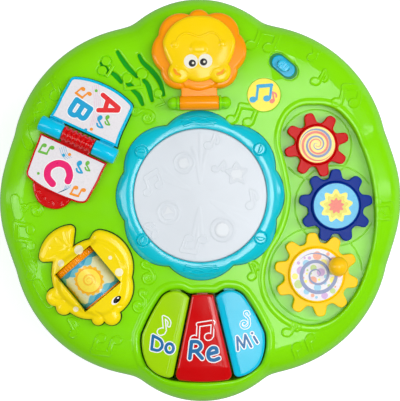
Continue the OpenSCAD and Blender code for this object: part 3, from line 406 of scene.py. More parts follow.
class Moulding:
    """Collects walls and faces, in millimetres, into one mesh."""

    def __init__(self):
        self.points, self.faces, self.kinds, self.count, self.kind = [], [], [], 0, 0

    def add(self, points, faces):
        """One shape, with its faces counted from its own first point."""
        self.points.append(np.asarray(points, float))
        self.faces += [tuple(int(i) + self.count for i in f) for f in faces]
        self.kinds += [self.kind] * len(faces)
        self.count += len(points)

    def wall(self, *rings):
        """Bands between rings of the same count, from the top ring down."""
        n = len(rings[0])
        faces = []
        for k in range(len(rings) - 1):
            for i in range(n):
                j = (i + 1) % n
                faces.append((k * n + i, (k + 1) * n + i, (k + 1) * n + j, k * n + j))
        self.add(np.vstack(rings), faces)

    def area(self, outer, height, holes=(), free=(), flip=False):
        """Triangles inside outer and outside the holes, at the height of each point."""
        loops = [outer, *holes]
        corners, edges, at = [], [], 0
        for loop in loops:
            corners.append(loop)
            edges += [(at + i, at + (i + 1) % len(loop)) for i in range(len(loop))]
            at += len(loop)
        free = [f for f in free if len(f)]
        if free:
            extra = np.vstack(free)
            keep = inside(extra, outer)
            for hole in holes:
                keep &= ~inside(extra, hole)
            extra = extra[keep]
            for loop in loops:
                extra = extra[distance_to(extra, loop) > 0.12]
            corners.append(extra)
        flat = np.vstack(corners)
        made = delaunay_2d_cdt([Vector(p) for p in flat], edges, [], 0, 1e-4, False)
        points = np.array([(p.x, p.y) for p in made[0]])
        faces = np.array([f for f in made[2] if len(f) == 3])
        middle = points[faces].mean(1)
        keep = inside(middle, outer)
        for hole in holes:
            keep &= ~inside(middle, hole)
        faces = faces[keep]
        a, b, c = (points[faces[:, k]] for k in range(3))
        turn = (b - a)[:, 0] * (c - a)[:, 1] - (b - a)[:, 1] * (c - a)[:, 0]
        wrong = (turn < 0) != flip
        faces[wrong] = faces[wrong][:, ::-1]
        z = height(points) if callable(height) else np.full(len(points), float(height))
        self.add(np.column_stack([points, z]), [tuple(f) for f in faces])

    def lathe(self, profile, at=(0, 0), count=64):
        """Turned shape about an upright axis: profile is (radius, z) from the top down."""
        self.rod(profile, (at[0], at[1], 0), (0, 0, 1), count)

    def rod(self, profile, at, axis, count=48):
        """Turned shape about any axis: profile is (radius, place along the axis), far end first."""
        axis = np.asarray(axis, float) / np.linalg.norm(axis)
        u = np.cross([0, 1, 0] if abs(axis[1]) < 0.9 else [1, 0, 0], axis)
        u /= np.linalg.norm(u)
        v = np.cross(axis, u)
        ring = circle((0, 0), 1, count)
        self.wall(*[
            np.asarray(at, float) + axis * t + max(r, 0.001) * (ring[:, :1] * u + ring[:, 1:] * v)
            for r, t in profile
        ])

    def print(self, loop, z, kind):
        """A printed shape, fine enough to follow a crowned face."""
        self.kind = kind
        self.area(loop, z, (), [filled(loop, 1.6)])
        self.kind = 0

    def stroke(self, line, half, z, kind):
        """A printed line with round ends."""
        self.print(strip(spaced(line, max(0.3, half * 0.35), False), 2 * half, 9), z, kind)

    def plate(self, loop, bottom, top, radius, steps=5, crown=None, relief=None, holes=(), hole_r=0.4,
              closed=True, undercut=0.0, grid=0.0):
        """Plate with a rounded upper edge: a crowned top, its sides and its underside."""

        def height(p):
            z = top - drop(distance_to(p, loop), radius)
            for hole in holes:
                z -= drop(distance_to(p, hole), hole_r)
            if crown:
                z += crown(p)
            if relief:
                z += relief.height(p)
            return z

        free = edge_lines(loop, radius, steps)
        for hole in holes:
            free += edge_lines(hole, hole_r, 3)
        if relief:
            free += relief.free()
        if grid:
            free.append(filled(inset(loop, radius + 0.8), grid))
        self.area(loop, height, holes, free)
        if undercut:
            self.wall(raised(loop, height(loop)), raised(loop, bottom + 0.9), raised(inset(loop, undercut), bottom))
        else:
            self.wall(raised(loop, height(loop)), raised(loop, bottom))
        for hole in holes:
            self.wall(raised(hole, height(hole)), raised(hole, bottom))
        if closed:
            self.area(loop, bottom, holes, flip=True)

    def parts(self):
        """The points, faces and finish of each shape, its faces counted from its own first point."""
        done, at = 0, 0
        for points in self.points:
            last = at
            while last < len(self.faces) and max(self.faces[last]) < done + len(points):
                last += 1
            yield points, [tuple(i - done for i in f) for f in self.faces[at:last]], self.kinds[at]
            done, at = done + len(points), last

    def moved(self, at, degrees=0.0):
        """The same shapes turned about the origin, then moved sideways."""
        for points in self.points:
            points[:, :2] = placed(points[:, :2], at, degrees)
        return self

    def piece(self, name, finishes, slot, *replaces, body="table"):
        """The mesh as a finished piece that rides on a body and stands for the nodes it replaces."""
        mesh = bpy.data.meshes.new(name)
        points = np.vstack(self.points) * MM
        mesh.from_pydata(points.tolist(), [], self.faces)
        mesh.polygons.foreach_set("material_index", self.kinds)
        work = bmesh.new()
        work.from_mesh(mesh)
        bmesh.ops.remove_doubles(work, verts=work.verts, dist=0.004 * MM)
        bmesh.ops.dissolve_degenerate(work, edges=work.edges, dist=0.002 * MM)
        work.to_mesh(mesh)
        work.free()
        mesh.validate()
        mesh.shade_smooth()
        mesh.set_sharp_from_angle(angle=math.radians(SHARP_ANGLE))
        for finish in finishes.split():
            mesh.materials.append(LOOKS[finish])
        made = added(name, mesh)
        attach(made, body)
        if replaces:
            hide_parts(*replaces)
        return made


# ---- Finishes ----


def tone(rgb):
    """Linear colour from a display colour of 0 to 255."""
    return [((c / 255 + 0.055) / 1.055) ** 2.4 if c > 10 else c / 255 / 12.92 for c in rgb] + [1.0]


class Shader:
    """Small helper around one material's nodes."""

    def __init__(self, name):
        self.mat = bpy.data.materials.new(name)
        self.mat.use_nodes = True
        self.tree = self.mat.node_tree
        self.bsdf = self.tree.nodes["Principled BSDF"]
        self.where = self.node("ShaderNodeTexCoord").outputs["Object"]

    def feed(self, socket, value):
        """Links an input to another node, or sets its value."""
        if isinstance(value, bpy.types.NodeSocket):
            self.tree.links.new(value, socket)
        else:
            socket.default_value = value

    def node(self, kind, inputs=None, **settings):
        """A new node with its settings made and its inputs fed."""
        made = self.tree.nodes.new(kind)
        for key, value in settings.items():
            setattr(made, key, value)
        for key, value in (inputs or {}).items():
            self.feed(made.inputs[key], value)
        return made

    def noise(self, scale, detail, stretch=None, distortion=0.0):
        """Noise in the object's own space, squeezed along its axes if asked."""
        where = self.where
        if stretch:
            where = self.node("ShaderNodeMapping", {"Vector": where, "Scale": stretch}).outputs["Vector"]
        inputs = {"Vector": where, "Scale": scale, "Detail": detail, "Distortion": distortion}
        return self.node("ShaderNodeTexNoise", inputs).outputs["Fac"]

    def span(self, value, low, high, out_low, out_high):
        """A value carried from one range to another."""
        inputs = {"Value": value, "From Min": low, "From Max": high, "To Min": out_low, "To Max": out_high}
        return self.node("ShaderNodeMapRange", inputs).outputs["Result"]

    def mix(self, factor, a, b):
        """A blend of two colours."""
        made = self.node("ShaderNodeMix", data_type="RGBA")
        for socket, value in zip([i for i in made.inputs if i.enabled], (factor, a, b)):
            self.feed(socket, value)
        return [o for o in made.outputs if o.enabled][0]

    def bump(self, *layers):
        """Layers of (height, strength, depth in mm), joined one after another."""
        last = None
        for height, strength, depth in layers:
            inputs = {"Height": height, "Strength": strength, "Distance": depth * MM}
            if last:
                inputs["Normal"] = last
            last = self.node("ShaderNodeBump", inputs).outputs["Normal"]
        return last

    def finish(self, inputs):
        """The material, with the inputs of its surface fed."""
        for key, value in inputs.items():
            self.feed(self.bsdf.inputs[key], value)
        return self.mat


def shaded(colour, factor, lift=0.0):
    """A darker or lighter version of a colour."""
    return [min(1, c * factor + lift) for c in colour[:3]] + [1.0]


def plastic(name, rgb, rough=0.15, coat=0.12, deep=0.0, gloss=0.5):
    """Glossy moulded plastic: a faint skin texture, flow shading, hairline scuffs."""
    s = Shader(name)
    base = tone(rgb)
    flow = s.span(s.noise(14, 3), 0.35, 0.65, 0, 1)
    skin = s.span(s.noise(60, 4), 0.3, 0.7, rough - 0.03, rough + 0.04)
    scuff = s.span(s.noise(130, 5, (1, 9, 1), 0.6), 0.62, 0.8, 0, 0.08)
    return s.finish({
        "Base Color": s.mix(flow, base, shaded(base, 0.93)),
        "Roughness": s.node("ShaderNodeMath", {0: skin, 1: scuff}, operation="ADD").outputs[0],
        "Normal": s.bump((s.noise(22, 1), 0.16, 0.35), (s.noise(1600, 2), 0.1, 0.02)),
        "IOR": 1.5,
        "Specular IOR Level": gloss,
        "Coat Weight": coat,
        "Coat Roughness": 0.05,
        "Subsurface Weight": deep,
        "Subsurface Radius": (0.004, 0.004, 0.004),
        "Subsurface Scale": 1.0,
    })


def paper(name, rgb, rough=0.3):
    """Printed film label: fine fibre, a little unevenness in the ink."""
    s = Shader(name)
    base = tone(rgb)
    return s.finish({
        "Base Color": s.mix(s.span(s.noise(700, 2), 0.4, 0.7, 0, 1), base, shaded(base, 0.94)),
        "Roughness": s.span(s.noise(90, 3), 0.3, 0.7, rough - 0.05, rough + 0.06),
        "Normal": s.bump((s.noise(900, 2), 0.1, 0.03)),
        "Coat Weight": 0.25,
        "Coat Roughness": 0.12,
    })


def metal(name, rgb, rough=0.25, bare=1.0):
    """Turned or polished metal; bare below 1 gives it a clouded film."""
    s = Shader(name)
    base = tone(rgb)
    return s.finish({
        "Base Color": s.mix(s.span(s.noise(120, 4), 0.4, 0.7, 0, 1), base, shaded(base, 0.8)),
        "Roughness": s.span(s.noise(400, 3, (1, 1, 14)), 0.3, 0.7, rough - 0.06, rough + 0.1),
        "Normal": s.bump((s.noise(500, 3, (1, 1, 10)), 0.15, 0.03)),
        "Metallic": bare,
    })


def rubber(name, rgb, rough=0.6):
    """Dull rubber with a little dust on it."""
    s = Shader(name)
    base = tone(rgb)
    return s.finish({
        "Base Color": s.mix(s.span(s.noise(40, 5), 0.45, 0.75, 0, 0.6), base, shaded(base, 1.25, 0.01)),
        "Roughness": s.span(s.noise(200, 4), 0.3, 0.7, rough - 0.08, rough + 0.1),
        "Normal": s.bump((s.noise(900, 3), 0.3, 0.06)),
    })


def board(name, rgb):
    """Circuit board: lacquer over fine tracks and round pads."""
    s = Shader(name)
    base = tone(rgb)
    tracks = s.node("ShaderNodeTexBrick", {"Vector": s.where, "Scale": 260, "Mortar Size": 0.06}).outputs["Fac"]
    return s.finish({
        "Base Color": s.mix(tracks, base, shaded(base, 1.5, 0.02)),
        "Roughness": s.span(s.noise(300, 3), 0.3, 0.7, 0.28, 0.42),
        "Normal": s.bump((tracks, 0.25, 0.05), (s.noise(900, 2), 0.1, 0.02)),
    })


# ---- Motifs ----


def sized(strokes, at, size, degrees):
    """Strokes scaled, turned and moved."""
    return [(placed(np.array(p) * size, at, degrees), half * size) for p, half in strokes]


def eighth_note(at, size, degrees):
    """A single note as strokes: head, stem and flag."""
    return sized([
        ([(-0.8, 0), (0.8, 0.4)], 3.6),
        ([(3.6, 1), (3.6, 15)], 1.5),
        (curve([(3.6, 15), (7.2, 12.6), (9, 9.2), (8.2, 5.8)], 14), 1.5),
    ], at, size, degrees)


def beamed_notes(at, size, degrees):
    """Two notes joined by a beam, as strokes."""
    return sized([
        ([(-7.2, -7.2), (-6.2, -6.9)], 3.3),
        ([(6.0, -4.4), (7.0, -4.1)], 3.3),
        ([(-3.4, -6.4), (-3.4, 6.2)], 1.4),
        ([(9.6, -3.6), (9.6, 9.2)], 1.4),
        ([(-3.4, 6.4), (9.6, 9.2)], 2.0),
    ], at, size, degrees)


def curl_sign(at, size, degrees):
    """A curled sign like a simple clef, as strokes."""
    spiral = polar(np.linspace(2.4, 6.2, 30), np.radians(np.linspace(40, 400, 30)))
    tail = curve([spiral[-1], (3.4, 7.6), (-1.6, 10.4), (-2.6, 13.6), (0.8, 14.8), (2.6, 12.4)], 30)
    return sized([(spiral, 1.4), (tail, 1.4), ([(-0.2, 0.0), (0.2, 0.0)], 1.9)], at, size, degrees)


def swirl(turns, r0, r1, width, start):
    """Closed outline of a spiral that starts as a point and widens outwards."""
    t = np.linspace(0, 1, 180)
    a = math.radians(start) + 2 * math.pi * turns * t
    middle = r0 + (r1 - r0) * t
    half = width / 2 * np.clip(t * 1.4 + 0.08, 0, 1) * np.clip((1 - t) * 6, 0.05, 1)
    return np.vstack([polar(middle + half, a), polar(middle - half, a)[::-1]])


def wavy(points, radius, depth, start):
    """Closed wavy star round the origin."""
    a = whole_turn(216)
    r = radius + depth * np.cos(points * (a - math.radians(start)))
    return polar(r, a)


def star(points, r_out, r_in, start):
    """Closed pointed star round the origin."""
    a = math.radians(start) + np.arange(points * 2) * math.pi / points
    r = np.where(np.arange(points * 2) % 2 == 0, r_out, r_in)
    return polar(r, a)


def letter(shape, at, size, degrees, half):
    """Strokes of a letter, about size tall, its middle at the given place."""
    lines = {
        "A": [[(-0.46, -0.5), (-0.02, 0.5)], [(0.4, -0.5), (0.12, 0.5)], [(-0.3, -0.17), (0.3, -0.17)],
              [(-0.02, 0.5), (0.12, 0.5)]],
        "B": [[(-0.44, -0.5), (-0.44, 0.5)],
              curve([(-0.44, 0.5), (0.2, 0.48), (0.3, 0.26), (0.16, 0.03), (-0.3, 0.0)], 24),
              curve([(-0.3, 0.0), (0.3, -0.02), (0.44, -0.26), (0.3, -0.48), (-0.44, -0.5)], 24)],
        "C": [curve([(0.42, 0.36), (0.16, 0.5), (-0.22, 0.46), (-0.44, 0.2), (-0.46, -0.12), (-0.3, -0.42),
                     (0.05, -0.52), (0.4, -0.36)], 48)],
        "D": [[(-0.36, 0.5), (-0.48, -0.46)],
              curve([(-0.36, 0.5), (0.16, 0.18), (0.28, -0.24), (0.0, -0.54), (-0.48, -0.46)], 32)],
        "R": [[(-0.3, 0.5), (-0.42, -0.5)],
              curve([(-0.3, 0.5), (0.1, 0.46), (0.26, 0.2), (0.06, -0.04), (-0.32, -0.08)], 28),
              [(-0.06, -0.06), (0.32, -0.5)]],
        "M": [[(-0.46, -0.6), (-0.5, 0.36)], [(-0.5, 0.36), (0.0, -0.42)], [(0.0, -0.42), (0.1, 0.5)],
              [(0.1, 0.5), (0.54, -0.38)]],
        "o": [turned(circle((0, 0), 0.44, 40)[:21] * [0.9, 1.05], a) for a in (0, 180)],
        "e": [[(-0.36, -0.02), (0.28, 0.14)],
              curve([(0.28, 0.14), (0.22, 0.42), (-0.08, 0.47), (-0.34, 0.24), (-0.42, -0.08), (-0.3, -0.4),
                     (0.04, -0.5), (0.42, -0.36)], 44)],
        "i": [[(-0.14, 0.14), (0.2, -0.46)], [(-0.32, 0.5), (-0.31, 0.5)]],
    }[shape]
    return [(placed(np.array(p) * size, at, degrees), half) for p in lines]


def print_strokes(m, strokes, z, kind, wider=0.0):
    """Printed strokes, each a hair above the one before."""
    for k, (line, half) in enumerate(strokes):
        m.stroke(line, half + wider, z + 0.01 * k, kind)


def print_letter(m, strokes, z, kind, rim_kind):
    """A printed letter over its wider rim."""
    print_strokes(m, strokes, z, rim_kind, 1.0)
    print_strokes(m, strokes, z + 0.08, kind)


def outline_print(m, strokes, z, line_kind, core_kind, width):
    """A printed outline of a shape made of strokes, filled with the colour behind it."""
    for k, (line, half) in enumerate(strokes):
        dense = spaced(line, 0.5, False)
        m.print(strip(dense, 2 * half + width, 12), z + 0.004 * k, line_kind)
        m.print(strip(dense, 2 * half - width, 12), z + 0.04 + 0.004 * k, core_kind)


def add_contact_shade(name, line, out, into, at, turn=0.0):
    """Dark parting line on the deck round a piece."""
    seam = Moulding()
    seam.wall(raised(inset(line, -out), DECK + 0.03), raised(inset(line, into), DECK + 0.05))
    # the dark band is painted shade, not a real parting line
    seam.moved(at, turn).piece(name, "seam", "green_shell")


# ---- Table shells ----

LOBES = (
    [(190 - 114, 0, 114), (190 - 114, 180, 114), (190.5 - 90.5, 90, 90.5), (190.5 - 90.5, 270, 90.5)]
    + [(62, a, 128.5) for a in (37, 143, 217, 323)]
)
LOBE_SHARPNESS = 60


def table_line():
    """Outline of the panel: a smooth union of eight discs around the middle."""
    a = whole_turn(720)
    total = 0
    for out, degrees, radius in LOBES:
        b = a - math.radians(degrees)
        reach = out * np.cos(b) + np.sqrt(np.maximum(0, radius**2 - (out * np.sin(b)) ** 2))
        total = total + (np.maximum(reach, 1) / 100) ** LOBE_SHARPNESS
    r = total ** (1 / LOBE_SHARPNESS) * 100
    return polar(r, a)


TABLE = table_line()
WELL = bulged([
    (162.3, -8, 0.095), (150, 50, 0.124), (131, 80, 0.2), (106, 87, 0.3), (81.5, 76, 0.19),
    (76, 47.5, -0.05), (84.5, 4, -0.147), (69.5, -42.5, 0.15), (59, -75, 0.2),
    (72.5, -105, 0.2), (103, -117.5, 0.2), (131, -105, 0.12), (153.5, -67, 0.107),
])
KEY_OPENING = bulged([
    (11, -86.6, 0.05), (-11, -86.6, -0.1), (-16, -84.4, 0.2), (-25.4, -82.4, 0.22),
    (-38.8, -88.4, 0.06), (-58.1, -123.6, 0.16), (-53.2, -153.6, 0.16), (-30, -167.4, 0.07),
    (30, -167.4, 0.16), (53.2, -153.6, 0.16), (58.1, -123.6, 0.06), (38.8, -88.4, 0.22),
    (25.4, -82.4, 0.2), (16, -84.4, -0.1),
]) + [KEY_X, 0]
SPEAKER_SLOTS = [
    [(-90, 128.5), (-84, 120.5)], [(-81, 120), (-76.5, 116.5), (-72, 111)], [(-66, 109), (-61.5, 106.5)],
    [(-61.5, 103.5), (-56, 98), (-52.5, 90)],
    [(-75, 139), (-71.5, 133), (-65.5, 124.5), (-57.5, 116)],
    [(-52, 113.5), (-47, 107), (-43.5, 93.5)],
    [(-55, 135.5), (-51.5, 129), (-43, 120.5), (-36, 110.5), (-32.8, 98.5)],
]


SPEAKER_NOTES = [
    [([(-85.5, 130.5), (-85.4, 130.5)], 4.3), ([(-89.3, 121.7), (-89.2, 121.7)], 4.3),
     ([(-82, 129), (-78.9, 125.2)], 0.9), ([(-87, 118.6), (-84.5, 116.5)], 0.9),
     ([(-78.9, 125.2), (-84.5, 116.5)], 1.5)],
    [([(-66.1, 114.2), (-66, 114.2)], 4.5), ([(-52.2, 118.1), (-52.1, 118.1)], 4.9),
     ([(-69, 111), (-67.8, 104.4)], 1.0), ([(-53.5, 113.5), (-52.4, 106.2)], 1.0),
     ([(-67.8, 104.4), (-52.4, 106.2)], 1.6)],
    [([(-37.5, 99.9), (-37.4, 99.9)], 3.7), ([(-35.8, 96.6), (-32, 90.5)], 1.0), ([(-32, 90.5), (-39, 88)], 1.2)],
]
NOTCH_ANGLES = (20, 70, 110, 160, 200, 250, 290, 340)


def pill(length, width):
    """Closed outline with round ends."""
    return strip(np.array([(-(length - width) / 2, 0), ((length - width) / 2, 0)]), width, 14)


def panel_relief():
    """Raised notes, staff lines and lips moulded into the panel's top."""
    relief = Relief()
    tall = setting("note_height")
    for motif, rim, places in (
        (beamed_notes, 1.1, (
            ((-143, 101), 25, 1.3), ((60, 148.5), -22, 1.25), ((137.5, 95), -14, 1.2), ((40, 79), -22, 1.15),
            ((-164, -31), 78, 1.1), ((-88.5, -133.5), 160, 1.1), ((96, -139.5), 200, 1.1),
            ((171.5, -10), -86, 1.0),
        )),
        (eighth_note, 1.1, (
            ((-157, 77), 20, 1.0), ((105.5, 131), 0, 0.9), ((108, 108.5), -30, 0.9), ((-158.5, -67.5), 30, 1.0),
            ((-119.5, -122.5), 30, 0.9), ((47, -71.5), 20, 0.9), ((78.5, -124), -20, 1.0),
        )),
        (curl_sign, 1.0, (
            ((-47.5, 77), 60, 1.0), ((-49.5, -71), 10, 1.0), ((-58.5, -97), -20, 1.0), ((-152, -7), 80, 1.0),
        )),
    ):
        for at, turn, size in places:
            relief.emblem(motif(at, size, turn), rim, tall, 0.6)
    for ends in (
        [(-164, 71), (-161, 60), (-158, 53)], [(-172, 4), (-171, -4), (-169, -12)],
        [(-163.5, -46), (-160.5, -56), (-157, -62)], [(-152.5, -75), (-147.5, -85), (-141.5, -94)],
    ):
        relief.emblem([(curve(ends, 16), 3.8)], 1.0, tall, 0.8)
    for strokes in SPEAKER_NOTES:
        for line, half in strokes:
            if half > 3:
                relief.groove(circle(line[0], half + 0.7, 40), 0.8, 0.8, True)
    relief.line(inset(WELL, -3.0), 3.0, 0.7, True)
    relief.line(inset(KEY_OPENING, -4.2), 3.4, 1.1, True)
    return relief


def crease(points):
    """Shallow valleys that run inwards from the notches of the outline."""
    total = np.zeros(len(points))
    for degrees in NOTCH_ANGLES:
        a = math.radians(degrees)
        along = points @ [math.cos(a), math.sin(a)]
        across = np.abs(points @ [-math.sin(a), math.cos(a)])
        depth = 3.0 * np.clip((along - 138) / 50, 0, 1) ** 1.5
        total += depth * np.exp(-((across / 7.5) ** 2))
    return total


def build_panel():
    """The green panel with its openings and gear well, the speaker's notes and its grille."""
    m = Moulding()
    relief = panel_relief()
    window = spaced(placed(rectangle(WINDOW_L / 2, WINDOW_W / 2), FISH_AT, ROLLER_TURN), 2)
    drum = circle((0, DRUM_Y), 66, 128)
    switch = placed(pill(31.5, 16.7), SWITCH_AT, SWITCH_TURN)
    badge = circle(BADGE_AT, BADGE_R + 0.3, 72)
    mirror = circle(MIRROR_AT, MIRROR_R + 0.3, 72)
    slots = []
    for ends in SPEAKER_SLOTS:
        line = spaced(curve(ends, 30), 1.2, False)
        slots.append(strip(line, 3.0 + 1.3 * np.sin(np.linspace(0, math.pi, len(line))), 9))
    cuts = [(WELL, 1.2, WELL_Z), (KEY_OPENING, 1.6, DECK - 26), (switch, 1.0, DECK - 2),
            (badge, 0.4, DECK - 1), (mirror, 0.4, DECK - 2), (drum, 0.4, DECK - 3), (window, 0.4, DECK - 3)]
    cuts += [(s, 1.9, DECK - 4.4) for s in slots]
    loops = [(spaced(loop, 1.4) if len(loop) > 80 else loop)[::-1] for loop, _, _ in cuts]
    rounds = [r for _, r, _ in cuts]
    floors = [z for _, _, z in cuts]

    def height(p):
        edge = distance_to(p, TABLE)
        z = DECK - drop(edge, EDGE_ROUND) - crease(p)
        z += relief.height(p) * np.clip((edge - 6) / 8, 0, 1)
        for loop, r in zip(loops, rounds):
            z -= drop(distance_to(p, loop), r)
        return z

    free = edge_lines(TABLE, EDGE_ROUND, 12) + relief.free()
    for loop, r in zip(loops, rounds):
        free += edge_lines(loop, r, 4)
    for degrees in NOTCH_ANGLES:
        a = math.radians(degrees)
        for across in (-18, -13, -9, -6, -3, 0, 3, 6, 9, 13, 18):
            free.append(np.array([
                (along * math.cos(a) - across * math.sin(a), along * math.sin(a) + across * math.cos(a))
                for along in range(136, 190, 4)
            ]))
    m.area(TABLE, height, loops, free)
    m.wall(raised(TABLE, height(TABLE)), raised(TABLE, PART_Z), raised(inset(TABLE, WALL), PART_Z))
    for loop, floor in zip(loops, floors):
        m.wall(raised(loop, height(loop)), raised(loop, floor))
    rings = Relief()
    for at, r in ((YELLOW_AT, 43.5), (BLUE_AT, 37.5), (RED_AT, 33)):
        ring = circle(at, r, 240)
        for line in runs(ring, inside(ring, inset(WELL, 2.5))):
            rings.line(line, 0.6, 0.14)
    m.area(loops[0][::-1], lambda p: WELL_Z + rings.height(p), (), rings.free())
    stem = placed(pill(12.6, 5.6), SWITCH_AT, SWITCH_TURN)[::-1]
    m.area(loops[2][::-1], DECK - 2, [stem])
    m.area(loops[3][::-1], DECK - 1)
    m.area(loops[4][::-1], DECK - 2)
    m.piece("panel", "green", "green_shell", "top_panel", "gear_well")
    notes = Moulding()
    for strokes in SPEAKER_NOTES:
        for k, (line, half) in enumerate(strokes):
            loop = strip(spaced(line, 0.8, False), 2 * half, 18)
            notes.plate(loop, DECK - 2.2, DECK + 1.0 + 0.02 * k, min(0.8, half * 0.7), 4, closed=False)
    notes.piece("speaker_notes", "green", "green_shell")
    # sheet under the speaker slots; its darker green is painted shade for the inside of the slots
    grille = Moulding()
    grille.area(oval((-61, 113), 41, 34, 0, 64), DECK - 2.6)
    grille.piece("speaker_slot_shade", "grille", "green_shell")


def build_housing():
    """The bottom housing with its screw holes, and the grip of the battery door."""
    m = Moulding()
    rings = []
    for z, d in (
        (PART_Z, 1.5), (PART_Z - 3, 1.7), (PART_Z - 8, 3.0), (BASE_Z + 21, 5), (BASE_Z + 16, 7), (BASE_Z + 11, 10),
        (BASE_Z + 7, 13.4), (BASE_Z + 4, 17), (BASE_Z + 1.2, 21), (BASE_Z, 24),
    ):
        rings.append(raised(inset(TABLE, d), z))
    m.wall(*rings)
    bay = rectangle(31, 26.8) + [0, 40]
    holes = [bay[::-1]]
    for at in SCREWS:
        hole = circle(at, 3.5, 28)[::-1]
        holes.append(hole)
        m.wall(raised(hole, BASE_Z + 8), raised(hole, BASE_Z))
        m.area(circle(at, 3.5, 28), BASE_Z + 8, flip=True)
    for x, y in LEGS:
        holes.append(circle((x, y), LEG_TOP_R - 3, 48)[::-1])
    m.area(rings[-1][:, :2], BASE_Z, holes, flip=True)
    m.wall(raised(bay[::-1], BASE_Z + 2), raised(bay[::-1], BASE_Z))
    m.area(bay, BASE_Z + 2, flip=True)
    for x, y in LEGS:
        r = LEG_TOP_R + 1.4
        m.lathe([
            (r + 5.5, BASE_Z + 0.1), (r + 5.2, BASE_Z - 1.2), (r + 4.4, BASE_Z - 2.0), (r + 1.2, BASE_Z - 2.4),
            (r, BASE_Z - 2.0), (r - 0.3, BASE_Z + 0.1),
        ], (x, y), 72)
    m.piece("housing", "green", "green_shell", "bottom_housing")
    grip = Moulding()
    for k in range(5):
        rib = Moulding()
        rib.plate(pill(26 - 2.5 * k, 1.8), -0.2, 1.0, 0.6, 3, closed=False)
        for points in rib.points:
            points[:, 0] *= -1
            points[:, 2] = BASE_Z - points[:, 2]
        grip.add(np.vstack(rib.points) + [0, 22 + 3.4 * k, 0], rib.faces)
    grip.piece("door_grip", "green", "green_shell")


def build_legs():
    """Tapered tubes with a collar at the top and moulded rings, each in a rubber foot."""
    for (x, y), name in zip(LEGS, LEG_NAMES):
        out = np.array([x, y, 0]) / math.hypot(x, y) * math.sin(math.radians(LEG_LEAN))
        axis = np.array([-out[0], -out[1], math.cos(math.radians(LEG_LEAN))])
        top = np.array([x, y, BASE_Z], float)
        length = BASE_Z / axis[2]
        cut = lambda t: LEG_FOOT_R + (LEG_TOP_R - LEG_FOOT_R) * (length + t - 4) / length
        profile = [(LEG_TOP_R - 4, -2.6), (LEG_TOP_R - 1.4, -2.6), (LEG_TOP_R - 0.5, -3.2), (LEG_TOP_R - 0.1, -4.4)]
        for t in (-10, -12, -24, -26, -28):
            profile.append((cut(t) - (1.0 if t in (-12, -26) else 0), t))
        t = -40.0
        while t > -length + 24:
            profile.append((cut(t), t))
            t -= 12
        profile += [(cut(-length + 20), -length + 20), (cut(-length + 8), -length + 8)]
        m = Moulding()
        m.rod(profile, top, axis, 72)
        m.piece("leg_tube_" + name, "leg", "leg_plastic", "leg_" + name)
        r = LEG_FOOT_R + 3
        foot = Moulding()
        foot_profile = [
            (cut(-length + FOOT_H) + 0.05, -length + FOOT_H - 1.2), (r - 1.4, -length + FOOT_H),
            (r - 0.6, -length + FOOT_H), (r, -length + FOOT_H - 0.8), (r, -length + 10.5), (r - 0.7, -length + 9.9),
            (r - 0.7, -length + 9.1), (r, -length + 8.5), (r, -length + 4.4),
        ]
        foot.rod(foot_profile, top, axis, 72)
        centre = top + axis * (-length)
        ring = foot.points[0][-72:]
        sole = []
        for z, share in ((1.6, 1.0), (0.5, 0.97), (0.0, 0.9)):
            lean = (ring[:, 2] - z) / axis[2]
            low = ring - lean[:, None] * axis
            sole.append(raised(centre[:2] + (low[:, :2] - centre[:2]) * share, z))
        foot.wall(ring, *sole)
        foot.area(sole[-1][:, :2], 0.0, flip=True)
        foot.piece("foot_cap_" + name, "foot", "foot_rubber", "foot_" + name)


def build_flap_posts():
    """The two posts with round ends that hold the lion's hinge pin."""
    m = Moulding()
    for s in (-1, 1):
        x0 = FLAP_BARREL_HALF + 0.3
        centre = np.array([FLAP[0], FLAP[1], FLAP_AXIS_Z])
        ball_x, ball_r = FLAP_BARREL_HALF + 8.6 - 2.8, 5.6
        profile = [(0.01, ball_x + ball_r)]
        for a in range(10, 150, 10):
            profile.append((ball_r * math.sin(math.radians(a)), ball_x + ball_r * math.cos(math.radians(a))))
        profile = [(r, t) for r, t in profile if t > x0 + 2.2]
        profile += [(4.9, x0 + 2.2), (6.2, x0 + 2.0), (6.5, x0 + 1.6), (6.5, x0 + 0.3), (6.2, x0), (3, x0)]
        m.rod(profile, centre, (s, 0, 0), 64)
        foot = rectangle(3.4, 4.0) + [FLAP[0] + s * (x0 + 3.9), FLAP[1]]
        loop = spaced(foot, 1.0)
        rings = []
        for z, grow in ((FLAP_AXIS_Z, 0.0), (DECK + 2.2, 0.0), (DECK + 0.8, 0.4), (DECK + 0.05, 1.3)):
            rings.append(raised(inset(loop, -grow), z))
        m.wall(*rings)
    m.piece("flap_stand", "green", "green_shell", "flap_posts")


# ---- Drum ----


def bezel_line():
    """Outline of the bezel: eight lobes round the pad."""
    side_r, end_r = PAD_R + 12.2, PAD_R + 10
    corners = []
    for degrees, r, bulge in (
        (18, side_r, 0.438), (65.4, end_r, 0.454), (114.6, end_r, 0.438), (162, side_r, 0.347),
        (198, side_r, 0.438), (245.4, end_r, 0.454), (294.6, end_r, 0.438), (342, side_r, 0.347),
    ):
        a = math.radians(degrees)
        corners.append((r * math.cos(a), r * math.sin(a), bulge))
    return bulged(corners)


